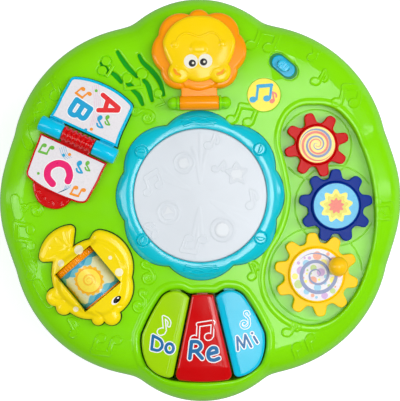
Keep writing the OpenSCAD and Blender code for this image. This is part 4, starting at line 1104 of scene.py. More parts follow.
def build_bezel():
    """The lobed ring round the drum pad, with its seam on the deck."""
    m = Moulding()
    loop = spaced(bezel_line(), 1.1)
    bore = circle((0, 0), PAD_R + 0.4, 160)[::-1]
    relief = Relief()
    for x, y, turn in ((-54, 41, 140), (55.5, 42, 40), (-53.5, -40.5, 220), (55, -40, -40)):
        relief.groove(circle((x, y), 5.9, 48), 0.8, 0.9, True)
        m.plate(circle((x, y), 5.2, 48), BEZEL_TOP - 1.5, BEZEL_TOP + 0.35, 0.7, 4, closed=False)
        petal = placed(bulged([(-0.6, -4.4, 0.8), (-0.6, 4.4, 0.1)]), (x, y), turn - 60)
        m.plate(petal, BEZEL_TOP - 1, BEZEL_TOP + 1.5, 1.2, 5, closed=False)
    for base in (66.4, 69.2, 72.0):
        for s in (-1, 1):
            xs = np.linspace(-17 + (72 - base) * 0.6, 17 - (72 - base) * 0.6, 30)
            wave = [(x, s * (base - x * x * 0.006 + 0.6 * math.sin(x / 2.6 + base))) for x in xs]
            relief.line(wave, 1.2, 1.1)
    foot = inset(loop, 0.9)

    def height(p):
        d_out, d_in = distance_to(p, loop), distance_to(p, bore)
        z = BEZEL_TOP - drop(d_out, 4.5) - drop(d_in, 0.9)
        z -= 0.03 * np.clip(d_in - 4.5, 0, 10) ** 2 + 0.02 * np.clip(4.5 - d_in, 0, 10) ** 2
        return z + relief.height(p)

    free = edge_lines(loop, 4.5, 7)
    free += [inset(loop, d) for d in (6, 7.5, 9, 10.5)] + [inset(bore, -d) for d in (2, 4, 6)]
    # painted contact shade on the deck round the bezel
    add_contact_shade("bezel_contact_shade", loop, 0.55, 0.6, (0, DRUM_Y))
    m.area(loop, height, [bore], free + edge_lines(bore, 0.9, 4) + relief.free())
    m.wall(raised(loop, height(loop)), raised(loop, DECK + 0.9), raised(foot, DECK + 0.05))
    m.wall(raised(bore, height(bore)), raised(bore, DECK + 2.4))
    m.moved((0, DRUM_Y))
    m.piece("bezel", "bezel", "cyan_plastic", "drum_bezel")


def build_pad():
    """The translucent drum pad with its relief and lighter facets."""
    m = Moulding()
    relief = Relief()
    for degrees, strong in ((5, 1.0), (66, 0.5), (124, 0.35), (181, 0.9), (247, 0.45), (302, 0.3)):
        a = math.radians(degrees + 84)
        out = np.array([math.cos(a), math.sin(a)])
        side = np.array([-out[1], out[0]])
        for lean, far in ((-4, 44), (0, 57), (4, 44)):
            bends = [out * 12, out * 26 + side * lean * 0.6, out * 36 + side * lean, out * far + side * lean * 1.8]
            relief.line(curve(bends, 20), 1.9, 0.17 * strong)
    star_line = placed(star(5, 9.4, 5.0, 20), (34, 19.5))
    relief.emblem([(np.vstack([star_line, star_line[:1]]), 0.9), ([(32.5, 19.5), (35.5, 19.5)], 4)], 0.9, 0.5, 0.7)
    for at, r in (((-29.5, -15.5), 10), ((20, -32), 10.5), ((-14.5, 30), 9)):
        for half, rim, fill in ((r, 1.3, 0.2), (r - 4, 0.9, 0.8)):
            relief.emblem([([at, (at[0] + 0.1, at[1])], half)], rim, 0.5, fill)
    for at, shape, size, turn in (
        ((-45, 12), beamed_notes, 0.95, 20), ((8, 46), eighth_note, 0.85, -20), ((46, -10), eighth_note, 0.9, 10),
        ((-6, -45), beamed_notes, 0.95, 160), ((-42, -36), eighth_note, 0.8, 60), ((14, 24), eighth_note, 0.7, -40),
    ):
        relief.emblem(shape(np.array(at), size, turn), 0.8, 0.45, 0.5)
    loop = circle((0, 0), PAD_R, 180)
    crown = lambda p: setting("pad_crown") * (1 - (p**2).sum(1) / PAD_R**2)
    m.area(loop, lambda p: PAD_TOP + crown(p) - drop(distance_to(p, loop), 1.2) + relief.height(p),
           (), edge_lines(loop, 1.2, 4) + relief.free() + [filled(inset(loop, 2.5), 3.5)])
    m.wall(*[raised(circle((0, 0), r, 180), z) for r, z in (
        (PAD_R, PAD_TOP - 1.2), (PAD_R, DECK + 2.2), (PAD_R + 3, DECK + 2.2), (PAD_R + 3, DECK + 0.2),
        (PAD_R - 2.5, DECK + 0.2), (PAD_R - 6, DECK + 2.4), (3, DECK + 3.2),
    )])
    m.lathe([(3, DECK + 3.2), (3, DECK - 6.4), (0, DECK - 6.4)], count=24)
    for k in range(3):
        a = math.radians(90 + 120 * k)
        spot = (SPRING_RING * math.cos(a), SPRING_RING * math.sin(a))
        m.lathe([(5, DECK + 3.0), (5, DECK + 2.4), (0, DECK + 2.4)], spot, 24)
    m.moved((0, DRUM_Y))
    m.piece("pad", "pad", "pad_plastic", "drum_pad", body="drum_pad_body")
    facets = Moulding()
    for shape in (
        bulged([(-22, 33, 0.2), (-12, 36, 0.25), (-7, 27, 0.3), (-17, 23, 0.2)]), circle((20, -32), 7.2, 40),
        placed(star(5, 8.2, 4.6, 20), (34, 19.5)),
        bulged([(-37, -20, 0.2), (-30, -7, 0.35), (-21, -17, 0.3)]),
    ):
        loop = spaced(shape, 1.2)
        facets.area(loop, lambda p: PAD_TOP + crown(p) + relief.height(p) + 0.03, (), [filled(loop, 1.6)])
    facets.moved((0, DRUM_Y))
    facets.piece("pad_facets", "pad_light", "pad_plastic", body="drum_pad_body")


def build_springs():
    """Three wire springs under the pad, which shorten as it is pressed."""
    m = Moulding()
    low, high = (corner.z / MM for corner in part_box("drum_springs"))
    wire, t = 0.53, np.linspace(0, 1, 170)
    turn = 2 * math.pi * 5 * t
    z = low + wire + (high - low - 2 * wire) * np.clip((t - 0.12) / 0.76, 0, 1)
    ring = circle((0, 0), wire, 10)
    reach = 4 + ring[:, 0]
    for k in range(3):
        middle = turned([(SPRING_RING, 0)], 90 + 120 * k)[0] + [0, DRUM_Y]
        m.wall(*[
            np.column_stack([middle[0] + reach * math.cos(a), middle[1] + reach * math.sin(a), h + ring[:, 1]])
            for a, h in zip(turn, z)
        ])
    made = m.piece("pad_springs", "steel", "steel", "drum_springs")
    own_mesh(made)


# ---- Lion flap ----

MANE = bulged([
    (38, 63.2, 0.53), (9.5, 81.7, 0.54), (-8.5, 81.7, 0.53), (-37, 63.2, 0.45),
    (-35.5, 30.7, 0.4), (-19, 13.2, 0), (19, 13.2, 0.4), (36, 30.7, 0.45),
])
FACE = bulged([
    (27.5, 35.2, 0.12), (34.2, 56.2, 0.36), (0.5, 80.2, 0.36), (-33.2, 56.2, 0.12),
    (-26.5, 35.2, 0.97), (-10, 21.7, 0.25), (10.5, 21.7, 0.97),
])


def build_lion():
    """The lion's mane with its hinge barrel, its face and the prints on it."""
    mane = Moulding()
    loop = spaced(MANE, 1.0)
    relief = Relief()
    relief.groove(curve([(-17.5, 22), (-13.5, 14.4)], 8), 1.6, 1.2)
    relief.groove(curve([(17.5, 22), (13.5, 14.4)], 8), 1.6, 1.2)
    mane.plate(loop, MANE_Z, MANE_TOP, 4.2, 8, relief=relief)
    mane.wall(*[raised(inset(loop, d), MANE_Z - h) for d, h in ((4.6, 0.0), (4.9, 0.5), (6.4, 0.5), (6.7, 0.0))])
    lobe = spaced(bulged([(-17, 19.5, 0.5), (17, 19.5, 0.1)]), 1.0)
    mane.plate(lobe, MANE_Z, MANE_TOP - 0.2, 3.2, 6, closed=False)
    web = np.array([(-16.6, -3), (16.6, -3), (16.6, 16), (-16.6, 16)], float)
    mane.plate(spaced(web, 2.0), MANE_Z, MANE_Z + 5.6, 0.6, 2)
    r, half = FLAP_BARREL_R, FLAP_BARREL_HALF
    ends = [(r - 0.8, half), (r - 0.2, half - 0.3), (r, half - 0.9)]
    profile = ends + [(r, t) for t in (12, 6, 0, -6, -12)] + [(r, -t) for r, t in ends[::-1]]
    mane.rod([(3, half)] + profile + [(3, -half)], (0, 0, FLAP_AXIS_Z), (1, 0, 0), 72)
    mane.moved(FLAP)
    mane.piece("mane", "orange", "orange_plastic", "lion_mane", body="lion_flap")
    face = Moulding()
    relief = Relief()
    relief.line([(-3.2, 50.3), (3.2, 50.3)], 5.3, 1.1)
    muzzle = curve([
        (-20, 55.5), (-18, 60), (-12, 63.6), (-5.5, 62.4), (0.5, 60.4), (6.5, 62.2), (12.3, 64), (18, 61), (21, 55.6),
    ], 48)
    relief.line(muzzle, 1.1, 0.7)
    for s in (-1, 1):
        relief.line([(s * 22 - 0.3, 53.6), (s * 22 + 0.3, 53.6)], 3.2, 0.9)
        relief.groove(placed([(-3.6, 0.6), (0.2, -0.8), (3.2, -0.6)], (s * 20.3, 27.6), s * 38), 2.2, 0.9)
        relief.groove(curve([(s * 10.5, 26.0), (s * 13.5, 30.5), (s * 20, 33)], 12), 1.2, 0.35)
    face_loop = spaced(FACE, 0.9)
    rise = lambda p: -1.3 * np.clip(1 - distance_to(p, face_loop) / 14, 0, 1) ** 2
    face.area(face_loop, lambda p: FACE_TOP - drop(distance_to(p, face_loop), 3.2) + rise(p) + relief.height(p), (),
              edge_lines(face_loop, 3.2, 7) + relief.free() + [filled(inset(face_loop, 4.2), 2.6)])
    face.wall(raised(face_loop, FACE_TOP - 4.5), raised(face_loop, MANE_TOP - 0.3))
    face.moved(FLAP)
    face.piece("face", "yellow", "yellow_plastic", "lion_face", body="lion_flap")
    prints = Moulding()
    z = FACE_TOP + 0.05
    for x, y, px, py in ((-7.2, 37.6, -6.0, 35.9), (6.0, 38.0, 4.4, 36.9)):
        prints.print(circle((x, y), 6.4, 48), z, 0)
        prints.print(circle((px, py), 3.3, 40), z + 0.03, 1)
        prints.print(circle((px + 0.7, py + 0.2), 1.1, 24), z + 0.06, 0)
    for s in (-1, 1):
        ear = spaced(curve([(-4.8, 1.2), (0, -1.9), (4.8, 1.2), (0, 1.7)], 32, True), 0.5)
        prints.print(placed(ear, (s * 20.4, 27.4), s * 40), z - 0.62, 2)
    prints.moved(FLAP)
    prints.piece("face_prints", "eye_white black orange", "printed_label", body="lion_flap")


# ---- Book ----

BOOK_BASE = bulged([
    (35.3, 8.6, -0.06), (33.7, 27.6, 0), (33.8, 45.9, 0.3), (30.1, 51.4, 0.1), (0, 56.6, 0.1),
    (-26.9, 51.6, 0.3), (-30.2, 46.4, 0), (-31.6, 29.4, -0.06), (-33, 8.6, 0),
])
BOOK_PAGE = bulged([
    (-34.4, -8.6, -0.04), (-33.2, -26.3, 0), (-31.6, -45, 0.3), (-27.6, -50.8, 0.06),
    (-9.4, -54.3, 0.04), (19, -53.6, 0.1), (27.1, -51.9, 0.3), (31.3, -46.6, 0), (32.8, -27.6, -0.04),
    (33.4, -8.6, 0),
])
BOOK_TAB = bulged([
    (-21.6, -47, 0), (-22.1, -54, 0.15), (-11.4, -67, 0.2), (3, -68.6, 0.2), (13.9, -61.8, 0.1),
    (17, -54, 0), (17, -47, 0),
])


def build_book():
    """The book: its fixed page, its turning page and both labels."""
    base, page, paper_a, paper_c = Moulding(), Moulding(), Moulding(), Moulding()
    for m, line, z0 in ((base, BOOK_BASE, DECK), (page, BOOK_PAGE, PAGE_Z)):
        loop = spaced(line, 1.0)
        tray = inset(loop, 2.3 if m is base else 1.7)[::-1]
        double = Relief()
        double.groove(inset(loop, 1.3), 0.4, 0.5 if m is base else 0.0, True)
        m.plate(loop, z0, PAGE_TOP, 0.9, 4, relief=double, holes=[tray], hole_r=0.2, closed=False, undercut=1.0)
        m.area(loop, z0 + 0.9, flip=True)
        m.area(tray[::-1], PAGE_TOP - 0.5)
    back = Moulding()
    for line, half in beamed_notes((-1, 31), 1.5, 180) + eighth_note((-18, 25), 1.1, 160):
        back.plate(strip(spaced(line, 0.8, False), 2 * half, 14), -0.2, 0.6, 0.5, 3, closed=False)
    for points in back.points:
        points[:, 1:] = np.column_stack([-points[:, 1], PAGE_Z + 0.9 - points[:, 2]])
    for points, faces, _ in list(back.parts()):
        page.add(points, faces)
    rim = spaced(BOOK_PAGE, 1.0)
    page.wall(*[raised(inset(rim, d), PAGE_Z + 0.9 - h) for d, h in ((5.0, 0.0), (5.2, 0.5), (6.2, 0.5), (6.4, 0.0))])
    grip = Relief()
    for x, y, turn in ((-14, -58.5, 20), (-6.5, -62, 10), (2, -62.5, -5), (9.5, -59.5, -20)):
        grip.line(placed(curve([(-2.4, -1.6), (0, 1.2), (2.4, -1.6)], 12), (x, y), turn), 1.1, 0.6)
    page.plate(spaced(BOOK_TAB, 1.0), PAGE_Z, PAGE_TOP - 1.8, 2.0, 5, relief=grip)
    for sign in (-1, 1):
        r, outer, inner = BARREL_R, BOOK_HINGE_HALF, BARREL_HALF + 0.6
        base.rod([
            (2, outer), (r - 1.6, outer), (r - 0.6, outer - 0.3), (r, outer - 1.4), (r, inner + 1.2),
            (r - 0.4, inner + 0.3), (r - 1.0, inner), (2, inner),
        ], (0, 0, BOOK_AXIS_Z), (sign, 0, 0), 72)
        x1, x2 = BARREL_HALF + 3, BOOK_HINGE_HALF - 6
        web = np.array([(x1, -0.5), (x2, -0.5), (x2, 12), (x1, 12)]) * [sign, 1]
        base.plate(spaced(web[:: sign], 2), DECK, PAGE_TOP - 1.6, 0.5, 2)
    a = whole_turn(96)
    rings, depth = [], setting("rib_depth")
    for t in np.linspace(BARREL_HALF, -BARREL_HALF, 100):
        wave = np.cos(2 * math.pi * (t + 0.7 * np.sin(2 * a + 0.4) + 0.3 * np.sin(6 * a)) / 4.7)
        r = BARREL_R - depth * (0.5 - 0.5 * np.tanh(1.5 * wave))
        rings.append(np.column_stack([np.full(96, t), r * np.sin(a), BOOK_AXIS_Z + r * np.cos(a)]))
    hub = np.column_stack([np.zeros(96), 2 * np.sin(a), BOOK_AXIS_Z + 2 * np.cos(a)])
    page.wall(hub + [BARREL_HALF, 0, 0], *rings, hub - [BARREL_HALF, 0, 0])
    web = np.array([(-14.2, -12), (14.2, -12), (14.2, 0.5), (-14.2, 0.5)])
    page.plate(spaced(web, 2), PAGE_Z, PAGE_Z + 4.8, 0.5, 2)
    # painted contact shade on the deck round the book's fixed page
    add_contact_shade("book_contact_shade", spaced(BOOK_BASE, 1.0), 0.95, 0.6, BOOK_AT, BOOK_TURN)
    base.moved(BOOK_AT, BOOK_TURN).piece("book_back", "book_cyan", "cyan_plastic", "book_base")
    page.moved(BOOK_AT, BOOK_TURN).piece("book_leaf", "red", "red_plastic", "book_page", body="page")
    sheet_z = PAGE_TOP - 0.2
    inks = "paper ink_red ink_blue ink_pink ink_green ink_orange ink_line ink_rose white"
    for m, line in ((paper_a, BOOK_BASE), (paper_c, BOOK_PAGE)):
        sheet = inset(spaced(line, 1.0), 2.4 if m is paper_a else 1.8)
        m.area(sheet, sheet_z)
        m.wall(raised(sheet, sheet_z), raised(sheet, sheet_z - 0.3))
    z = sheet_z + 0.03
    local = lambda x, y: placed([(x - BOOK_AT[0], y - BOOK_AT[1])], (0, 0), -BOOK_TURN)[0]
    for k in range(4):
        staves = (
            (paper_a, [(-98, 106.5), (-96.5, 94), (-97, 83), (-100.5, 70)], 7, 1.8),
            (paper_c, [(-129, 50), (-127, 43.5), (-123.5, 39.5)], 6, 1.7),
            (paper_c, [(-124, 15.5), (-126, 11.5), (-132, 8.5)], 6, 1.7),
        )
        for m, ends, kind, gap in staves:
            line = np.array([local(x + gap * k, y + 0.35 * gap * k) for x, y in ends])
            m.stroke(curve(line, 40), 0.3, z, kind)
    back = -BOOK_TURN
    print_letter(paper_a, letter("A", local(-82.5, 88.5), 17, -107 + back, 2.2), z + 0.05, 1, 8)
    print_letter(paper_a, letter("B", local(-110, 84.5), 15.6, -124 + back, 2.3), z + 0.05, 2, 8)
    print_letter(paper_c, letter("C", local(-130.5, 26.5), 20, -79 + back, 3.2), z + 0.05, 3, 8)
    for m, px, py, kind, shape, size, turn in (
        (paper_a, -106, 100, 5, beamed_notes, 0.55, 130), (paper_a, -94.5, 102.5, 4, None, 1.4, 0),
        (paper_a, -91.5, 77.5, 2, eighth_note, 0.6, 208), (paper_a, -84.5, 78, 4, eighth_note, 0.48, 208),
        (paper_a, -99.5, 67, 5, None, 1.5, 0), (paper_a, -104.7, 66.5, 2, None, 1.5, 0),
        (paper_c, -141, 49, 4, beamed_notes, 0.55, 150), (paper_c, -125.5, 43.5, 2, None, 1.5, 0),
        (paper_c, -120, 44, 5, None, 1.5, 0), (paper_c, -111, 36, 2, eighth_note, 0.6, 208),
        (paper_c, -103.5, 36, 4, eighth_note, 0.48, 208), (paper_c, -112.5, 9.5, 5, beamed_notes, 0.55, 150),
        (paper_c, -149, 27, 4, None, 1.3, 0),
    ):
        spot = local(px, py)
        if shape:
            print_strokes(m, shape(spot, size, turn + back), z + 0.03, kind)
        else:
            m.print(circle(spot, size, 24), z + 0.03, kind)
    paper_a.moved(BOOK_AT, BOOK_TURN).piece("sheet_ab", inks, "printed_label", "book_base_label")
    paper_c.moved(BOOK_AT, BOOK_TURN).piece("sheet_c", inks, "printed_label", "book_page_label", body="page")


# ---- Fish ----

FISH = bulged([
    (-13.6, 29.1, 0), (-11.6, 44.6, 0.4), (-16.1, 49.6, 0.35), (-45.1, 21.6, 0.4),
    (-41.1, 15.6, 0), (-32.1, 16.1, 0.15), (-31.6, -8.4, 0.95), (-30.1, -25.4, 0.72),
    (-17.1, -31.2, 0.19), (2.9, -37.9, 0.82), (14.4, -39.9, 0.95), (28.9, -31.9, 0.335),
    (40.4, 0.1, 0.455), (11.9, 44.6, 0.3), (3.9, 39.6, 0), (1.9, 36.1, 0.13),
])
FISH_DOME = bulged([
    (36, -2, 0.45), (8, 37.5, 0.1), (2, 32, 0.1), (-13, 25, 0.05), (-27.5, 15, 0.15),
    (-27.5, -13, 0.2), (2, -33.8, 0.35), (28, -26, 0.2),
])


def build_fish():
    """The fish with its prints, and the roller in it."""
    m = Moulding()
    loop = spaced(FISH, 1.0)
    window = placed(rectangle(WINDOW_L / 2, WINDOW_W / 2), (0, 0), ROLLER_TURN)
    window = spaced(window, 1.2)[::-1]
    dome = spaced(FISH_DOME, 1.0)
    lift = DOME_TOP - FISH_TOP
    relief = Relief()
    for ends, count, half, depth in (
        ([(-36, 20), (-28, 23), (-20, 27)], 14, 2.6, 0.55), ([(-33, 29), (-27, 28.5), (-19, 29)], 14, 2.6, 0.55),
        ([(-27, 37), (-24, 34), (-18, 30)], 14, 2.6, 0.55), ([(-20, 42), (-19, 37), (-17, 32)], 14, 2.6, 0.55),
        ([(3.5, 38.5), (9, 34), (17, 31), (24, 26)], 24, 2.4, 0.6),
        ([(14.5, -38.5), (11, -33), (6.5, -30.5)], 16, 2.0, 0.9),
        ([(33.5, -26), (27, -25.5), (22.5, -29)], 16, 1.8, 0.6),
        ([(-31.5, -17), (-27, -19.5), (-21, -19)], 14, 2.0, 0.8),
    ):
        relief.groove(curve(ends, count), half, depth)
    eye = np.array([-77.7, -90.0]) - FISH_AT

    def height(p):
        z = FISH_TOP - drop(distance_to(p, loop), 3.4)
        d = distance_to(p, dome) * np.where(inside(p, dome), 1, -1)
        z += lift * (0.5 - 0.5 * np.cos(np.clip((d + 0.4) / 5.5, 0, 1) * math.pi))
        z -= 1.1 * np.clip(1 - distance_to(p, loop) / 9, 0, 1) ** 2
        z -= drop(distance_to(p, window), 0.8)
        return z + relief.height(p) * np.clip(distance_to(p, loop) / 1.5, 0, 1)

    free = edge_lines(loop, 3.4, 7) + edge_lines(window, 0.8, 3) + relief.free()
    free += [inset(dome, d) for d in (-0.4, 0.4, 1.2, 2.2, 3.2, 4.2, 5.1)] + [filled(inset(loop, 4), 2.4)]
    m.area(loop, height, [window], free)
    m.wall(raised(loop, height(loop)), raised(loop, DECK + 0.9), raised(inset(loop, 1.0), DECK))
    m.wall(raised(window, height(window)), raised(window, DECK))
    m.moved(FISH_AT)
    # painted contact shade on the deck round the fish
    add_contact_shade("fish_contact_shade", loop, 1.05, 0.5, FISH_AT)
    m.piece("fish", "lemon", "yellow_plastic", "fish_shell")
    prints = Moulding()
    for x, y, r in ((-129, -56, 3.1), (-112.5, -44, 4.2), (-83.5, -51.5, 1.8), (-75.5, -65, 3.7), (-116, -98.5, 2.5)):
        spot = circle((x, y), r, 40) - FISH_AT
        prints.area(spot, lambda p: height(p) + 0.06, (), [filled(inset(spot, 0.4), 0.8)])
    for shape, above, kind in (
        (oval(eye + [-1.3, -0.9], 4.7, 2.9, 44), 0.06, 2), (oval(eye, 4.3, 2.4, 44), 0.1, 1),
        (oval(eye + [0.9, 1.5], 1.1, 0.7, 44), 0.14, 2),
    ):
        prints.kind = kind
        prints.area(shape, lambda p: height(p) + above, (), [filled(inset(shape, 0.2), 0.7)])
    prints.moved(FISH_AT)
    prints.piece("fish_prints", "dot black white", "printed_label")
    build_roller()


def build_roller():
    """The ribbed picture roller and its printed sleeve."""
    at = np.array((FISH_AT[0], FISH_AT[1], ROLLER_Z))
    axis = np.append(turned([(1, 0)], ROLLER_TURN)[0], 0)
    side = np.append(turned([(0, 1)], ROLLER_TURN)[0], 0)
    up = np.array([0, 0, 1.0])
    spoke = lambda a: np.cos(a)[:, None] * side + np.sin(a)[:, None] * up
    m = Moulding()
    a = whole_turn(44 * 8)
    rib = ROLLER_R - 0.4 + 0.4 * np.tanh(2.2 * np.cos(44 * a))
    rings = []
    for t, lower in ((-16.0, 0.5), (-16.5, 0), (-21.3, 0), (-21.8, 0.5)):
        r = rib - lower
        rings.append(at + axis * t + r[:, None] * spoke(a))
    hub = [at + axis * t + 4 * spoke(a) for t in (-16.0, -21.8)]
    m.wall(hub[0], *rings, hub[1])
    m.rod([
        (4, 21.8), (ROLLER_R - 0.5, 21.8), (ROLLER_R, 21.4), (ROLLER_R, 20.8), (ROLLER_R - 0.8, 20.4),
        (ROLLER_R - 0.8, -16),
    ], at, axis, 96)
    m.piece("roller_drum", "orange", "orange_plastic", "picture_roller", body="roller")
    s = Moulding()
    r = ROLLER_R - 0.3
    s.rod([(r, t) for t in (20.4, 12, 4, -4, -10, -16)], at, axis, 128)
    flat = Moulding()
    around_it = 2 * math.pi * r

    def shape(loop, lift, kind):
        flat.kind = kind
        flat.area(loop, lift, (), [filled(loop, 1.3)])

    v = np.linspace(0, around_it, 160)
    for edge, reach, swing, kind, lift in (
        (-15.9, 5.4, 2.2, 6, 0.03), (-15.9, 2.8, 1.6, 1, 0.06), (20.3, -4.6, 1.8, 6, 0.03), (20.3, -2.2, 1.3, 1, 0.06),
    ):
        wave = edge + reach + swing * np.sin(2 * math.pi * 8 * v / around_it + reach)
        lines = [np.column_stack([np.full(160, edge), v]), np.column_stack([wave, v])[::-1]]
        shape(np.vstack(lines), lift, kind)
    for k in range(3):
        centre = (2.2, around_it * (k + 1) / 4)
        shape(placed(wavy(16, 13.6, 0.8, 0), centre), 0.09, 3)
        shape(circle(centre, 11.6, 60), 0.13, 5)
        shape(circle(centre, 11.0, 60), 0.17, 4)
        shape(placed(swirl(2.0, 0.8, 6.4, 1.5, 60 * k), centre), 0.21, 3)
    for points, faces, kind in flat.parts():
        s.kind = kind
        s.add(at + axis * points[:, :1] + (r + points[:, 2:]) * spoke(points[:, 1] / r), faces)
    inks = "glow ink_teal cream ink_sun ink_lemon ink_orange ink_wave"
    s.piece("roller_sleeve", inks, "printed_label", "roller_picture", body="roller")


# ---- Keys ----

KEY_SIDE = bulged([
    (-12.8, -90.5, 0.2), (-24.8, -84.2, 0.22), (-37.5, -89.5, 0.06), (-56, -124, 0.16),
    (-51.5, -152, 0.2), (-32.5, -163.3, 0.35), (-28.6, -161, 0),
])
KEY_MIDDLE = bulged([
    (9.4, -88.2, 0.06), (-9.4, -88.2, 0), (-25.6, -161.5, 0.25), (-22.5, -166.6, 0.07),
    (22.5, -166.6, 0.25), (25.6, -161.5, 0),
])


def build_keys():
    """The three tipping keys and the prints on them."""
    words = (
        ("left", -25, -36, KEY_SIDE, "lime", [("D", (-41.6, -131), 13.0, 1.35), ("o", (-31.2, -136.2), 9.0, 1.4)],
         (eighth_note, (-38.5, -121), 0.9, 4)),
        ("middle", 0, 0, KEY_MIDDLE, "red", [("R", (-6.2, -138.2), 15.5, 1.7), ("e", (9.2, -142), 11.8, 1.7)],
         (beamed_notes, (-1.2, -121.5), 1.0, -4)),
        ("right", 25, 36, KEY_SIDE * [-1, 1], "key_cyan",
         [("M", (37.6, -131.3), 12.4, 1.05), ("i", (48.2, -128.2), 9.2, 1.1)],
         (curl_sign, (38.3, -114.8), 0.78, -14)),
    )
    slots = {"lime": "lime_plastic", "red": "red_plastic", "key_cyan": "cyan_plastic"}
    for side, hub_x, plunger_x, line, colour, word, (motif, spot, size, turn) in words:
        line = line[::-1] if side == "right" else line
        loop = inset(spaced(line, 0.9), -0.55)
        (x1, y1), (x2, y2) = {
            "left": ((-12.8, -90.5), (-28.6, -161)), "middle": ((9.4, -88.2), (25.6, -161.5)),
            "right": ((12.8, -90.5), (28.6, -161)),
        }[side]

        def crown(p):
            away = np.abs((x2 - x1) * (p[:, 1] - y1) - (y2 - y1) * (p[:, 0] - x1)) / math.hypot(x2 - x1, y2 - y1)
            z = -0.14 * np.clip(5.4 - away, 0, 5.4) - 0.0011 * ((p[:, 0] - (x1 + x2) / 2) ** 2)
            if side == "middle":
                z = z - 0.3 * np.clip(-155.5 - p[:, 1], 0, 12)
            return z

        m = Moulding()
        rails = Relief()
        bend = np.array([(x1, y1), (x2, y2)], float)
        normal = np.array([y2 - y1, x1 - x2]) / math.hypot(x2 - x1, y2 - y1)
        if (np.array([plunger_x, PLUNGER_Y]) - bend[0]) @ normal < 0:
            normal = -normal
        rails.line(bend + normal * 5.4, 0.5, 0.12)
        m.plate(loop, KEY_BOTTOM, KEY_TOP, setting("key_round"), 7, crown=crown, relief=rails, grid=3.0)
        arm = ((-5, -98), (5, -98), (5, KEY_HINGE_Y), (-5, KEY_HINGE_Y))
        m.add([(hub_x + a, b, c) for c in (DECK - 4.8, DECK - 12.5) for a, b in arm],
              [(0, 1, 2, 3), (7, 6, 5, 4), (0, 4, 5, 1), (1, 5, 6, 2), (2, 6, 7, 3), (3, 7, 4, 0)])
        m.rod([(0, 5), (3.1, 5), (3.5, 4.6), (3.5, -4.6), (3.1, -5), (0, -5)],
              (hub_x, KEY_HINGE_Y, DECK - 9), (1, 0, 0), 32)
        m.lathe([(3, KEY_BOTTOM + 0.5), (3, DECK - 11.6), (2.6, DECK - 12), (0, DECK - 12)],
                (plunger_x, PLUNGER_Y), 32)
        m.moved((KEY_X, 0))
        m.piece("key_cap_" + side, colour, slots[colour], "key_" + side, body=side + "_key")
        p = Moulding()
        outline_print(p, motif(spot, size, turn), 0.04, 0, 2, 0.7 if side == "right" else 1.0)
        for shape, at, tall, half in word:
            print_letter(p, letter(shape, at, tall, 0, half), 0.12, 1, 0)
        for k, points in enumerate(p.points):
            p.points[k] = np.column_stack([points[:, :2], points[:, 2] + KEY_TOP + crown(points)])
        p.moved((KEY_X, 0))
        p.piece("key_print_" + side, "white ink_deep " + colour, "printed_label", body=side + "_key")


def build_domes():
    """Rubber contact domes under the keys, which give way as a key is pressed."""
    for side, x in (("left", -36), ("middle", 0), ("right", 36)):
        low, high = (corner.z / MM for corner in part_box("key_dome_" + side))
        m = Moulding()
        m.lathe([
            (0, high - 0.3), (2.2, high - 0.3), (2.6, high), (3.4, high), (3.85, high - 0.35),
            (4.0, high - 1.2), (4.4, low + 3.4), (5.0, low + 1.8),
            (5.7, low + 1.15), (6.7, low + 1.0), (7.0, low + 0.7), (7.0, low), (5.0, low), (3.4, low + 3), (0, low + 3),
        ], (KEY_X + x, PLUNGER_Y), 48)
        made = m.piece("contact_dome_" + side, "dome_rubber", "dome_rubber", "key_dome_" + side)
        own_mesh(made)


# ---- Gears ----

GEARS = {
    "red": (RED_AT, 8, 7.5, 2.2, 13.9, 22.3 - 4.1, "gear_red"),
    "blue": (BLUE_AT, 9, 5.5, 2.8, 9.0, 22.3, "blue"),
    "yellow": (YELLOW_AT, 10, 5.0, 4.2, 23.4, 25.6, "gear_yellow"),
}


def gear_line(teeth, root, tip, phase):
    """Outline of a gear with soft teeth."""
    a = whole_turn(teeth * 32)
    low, high = math.tanh(-1.8), math.tanh(1.8)
    f = (np.tanh(1.8 * np.cos(teeth * a)) - low) / (high - low)
    r = teeth * 3.5 - root + (root + tip) * f
    a = a + math.radians(phase)
    return polar(r, a)


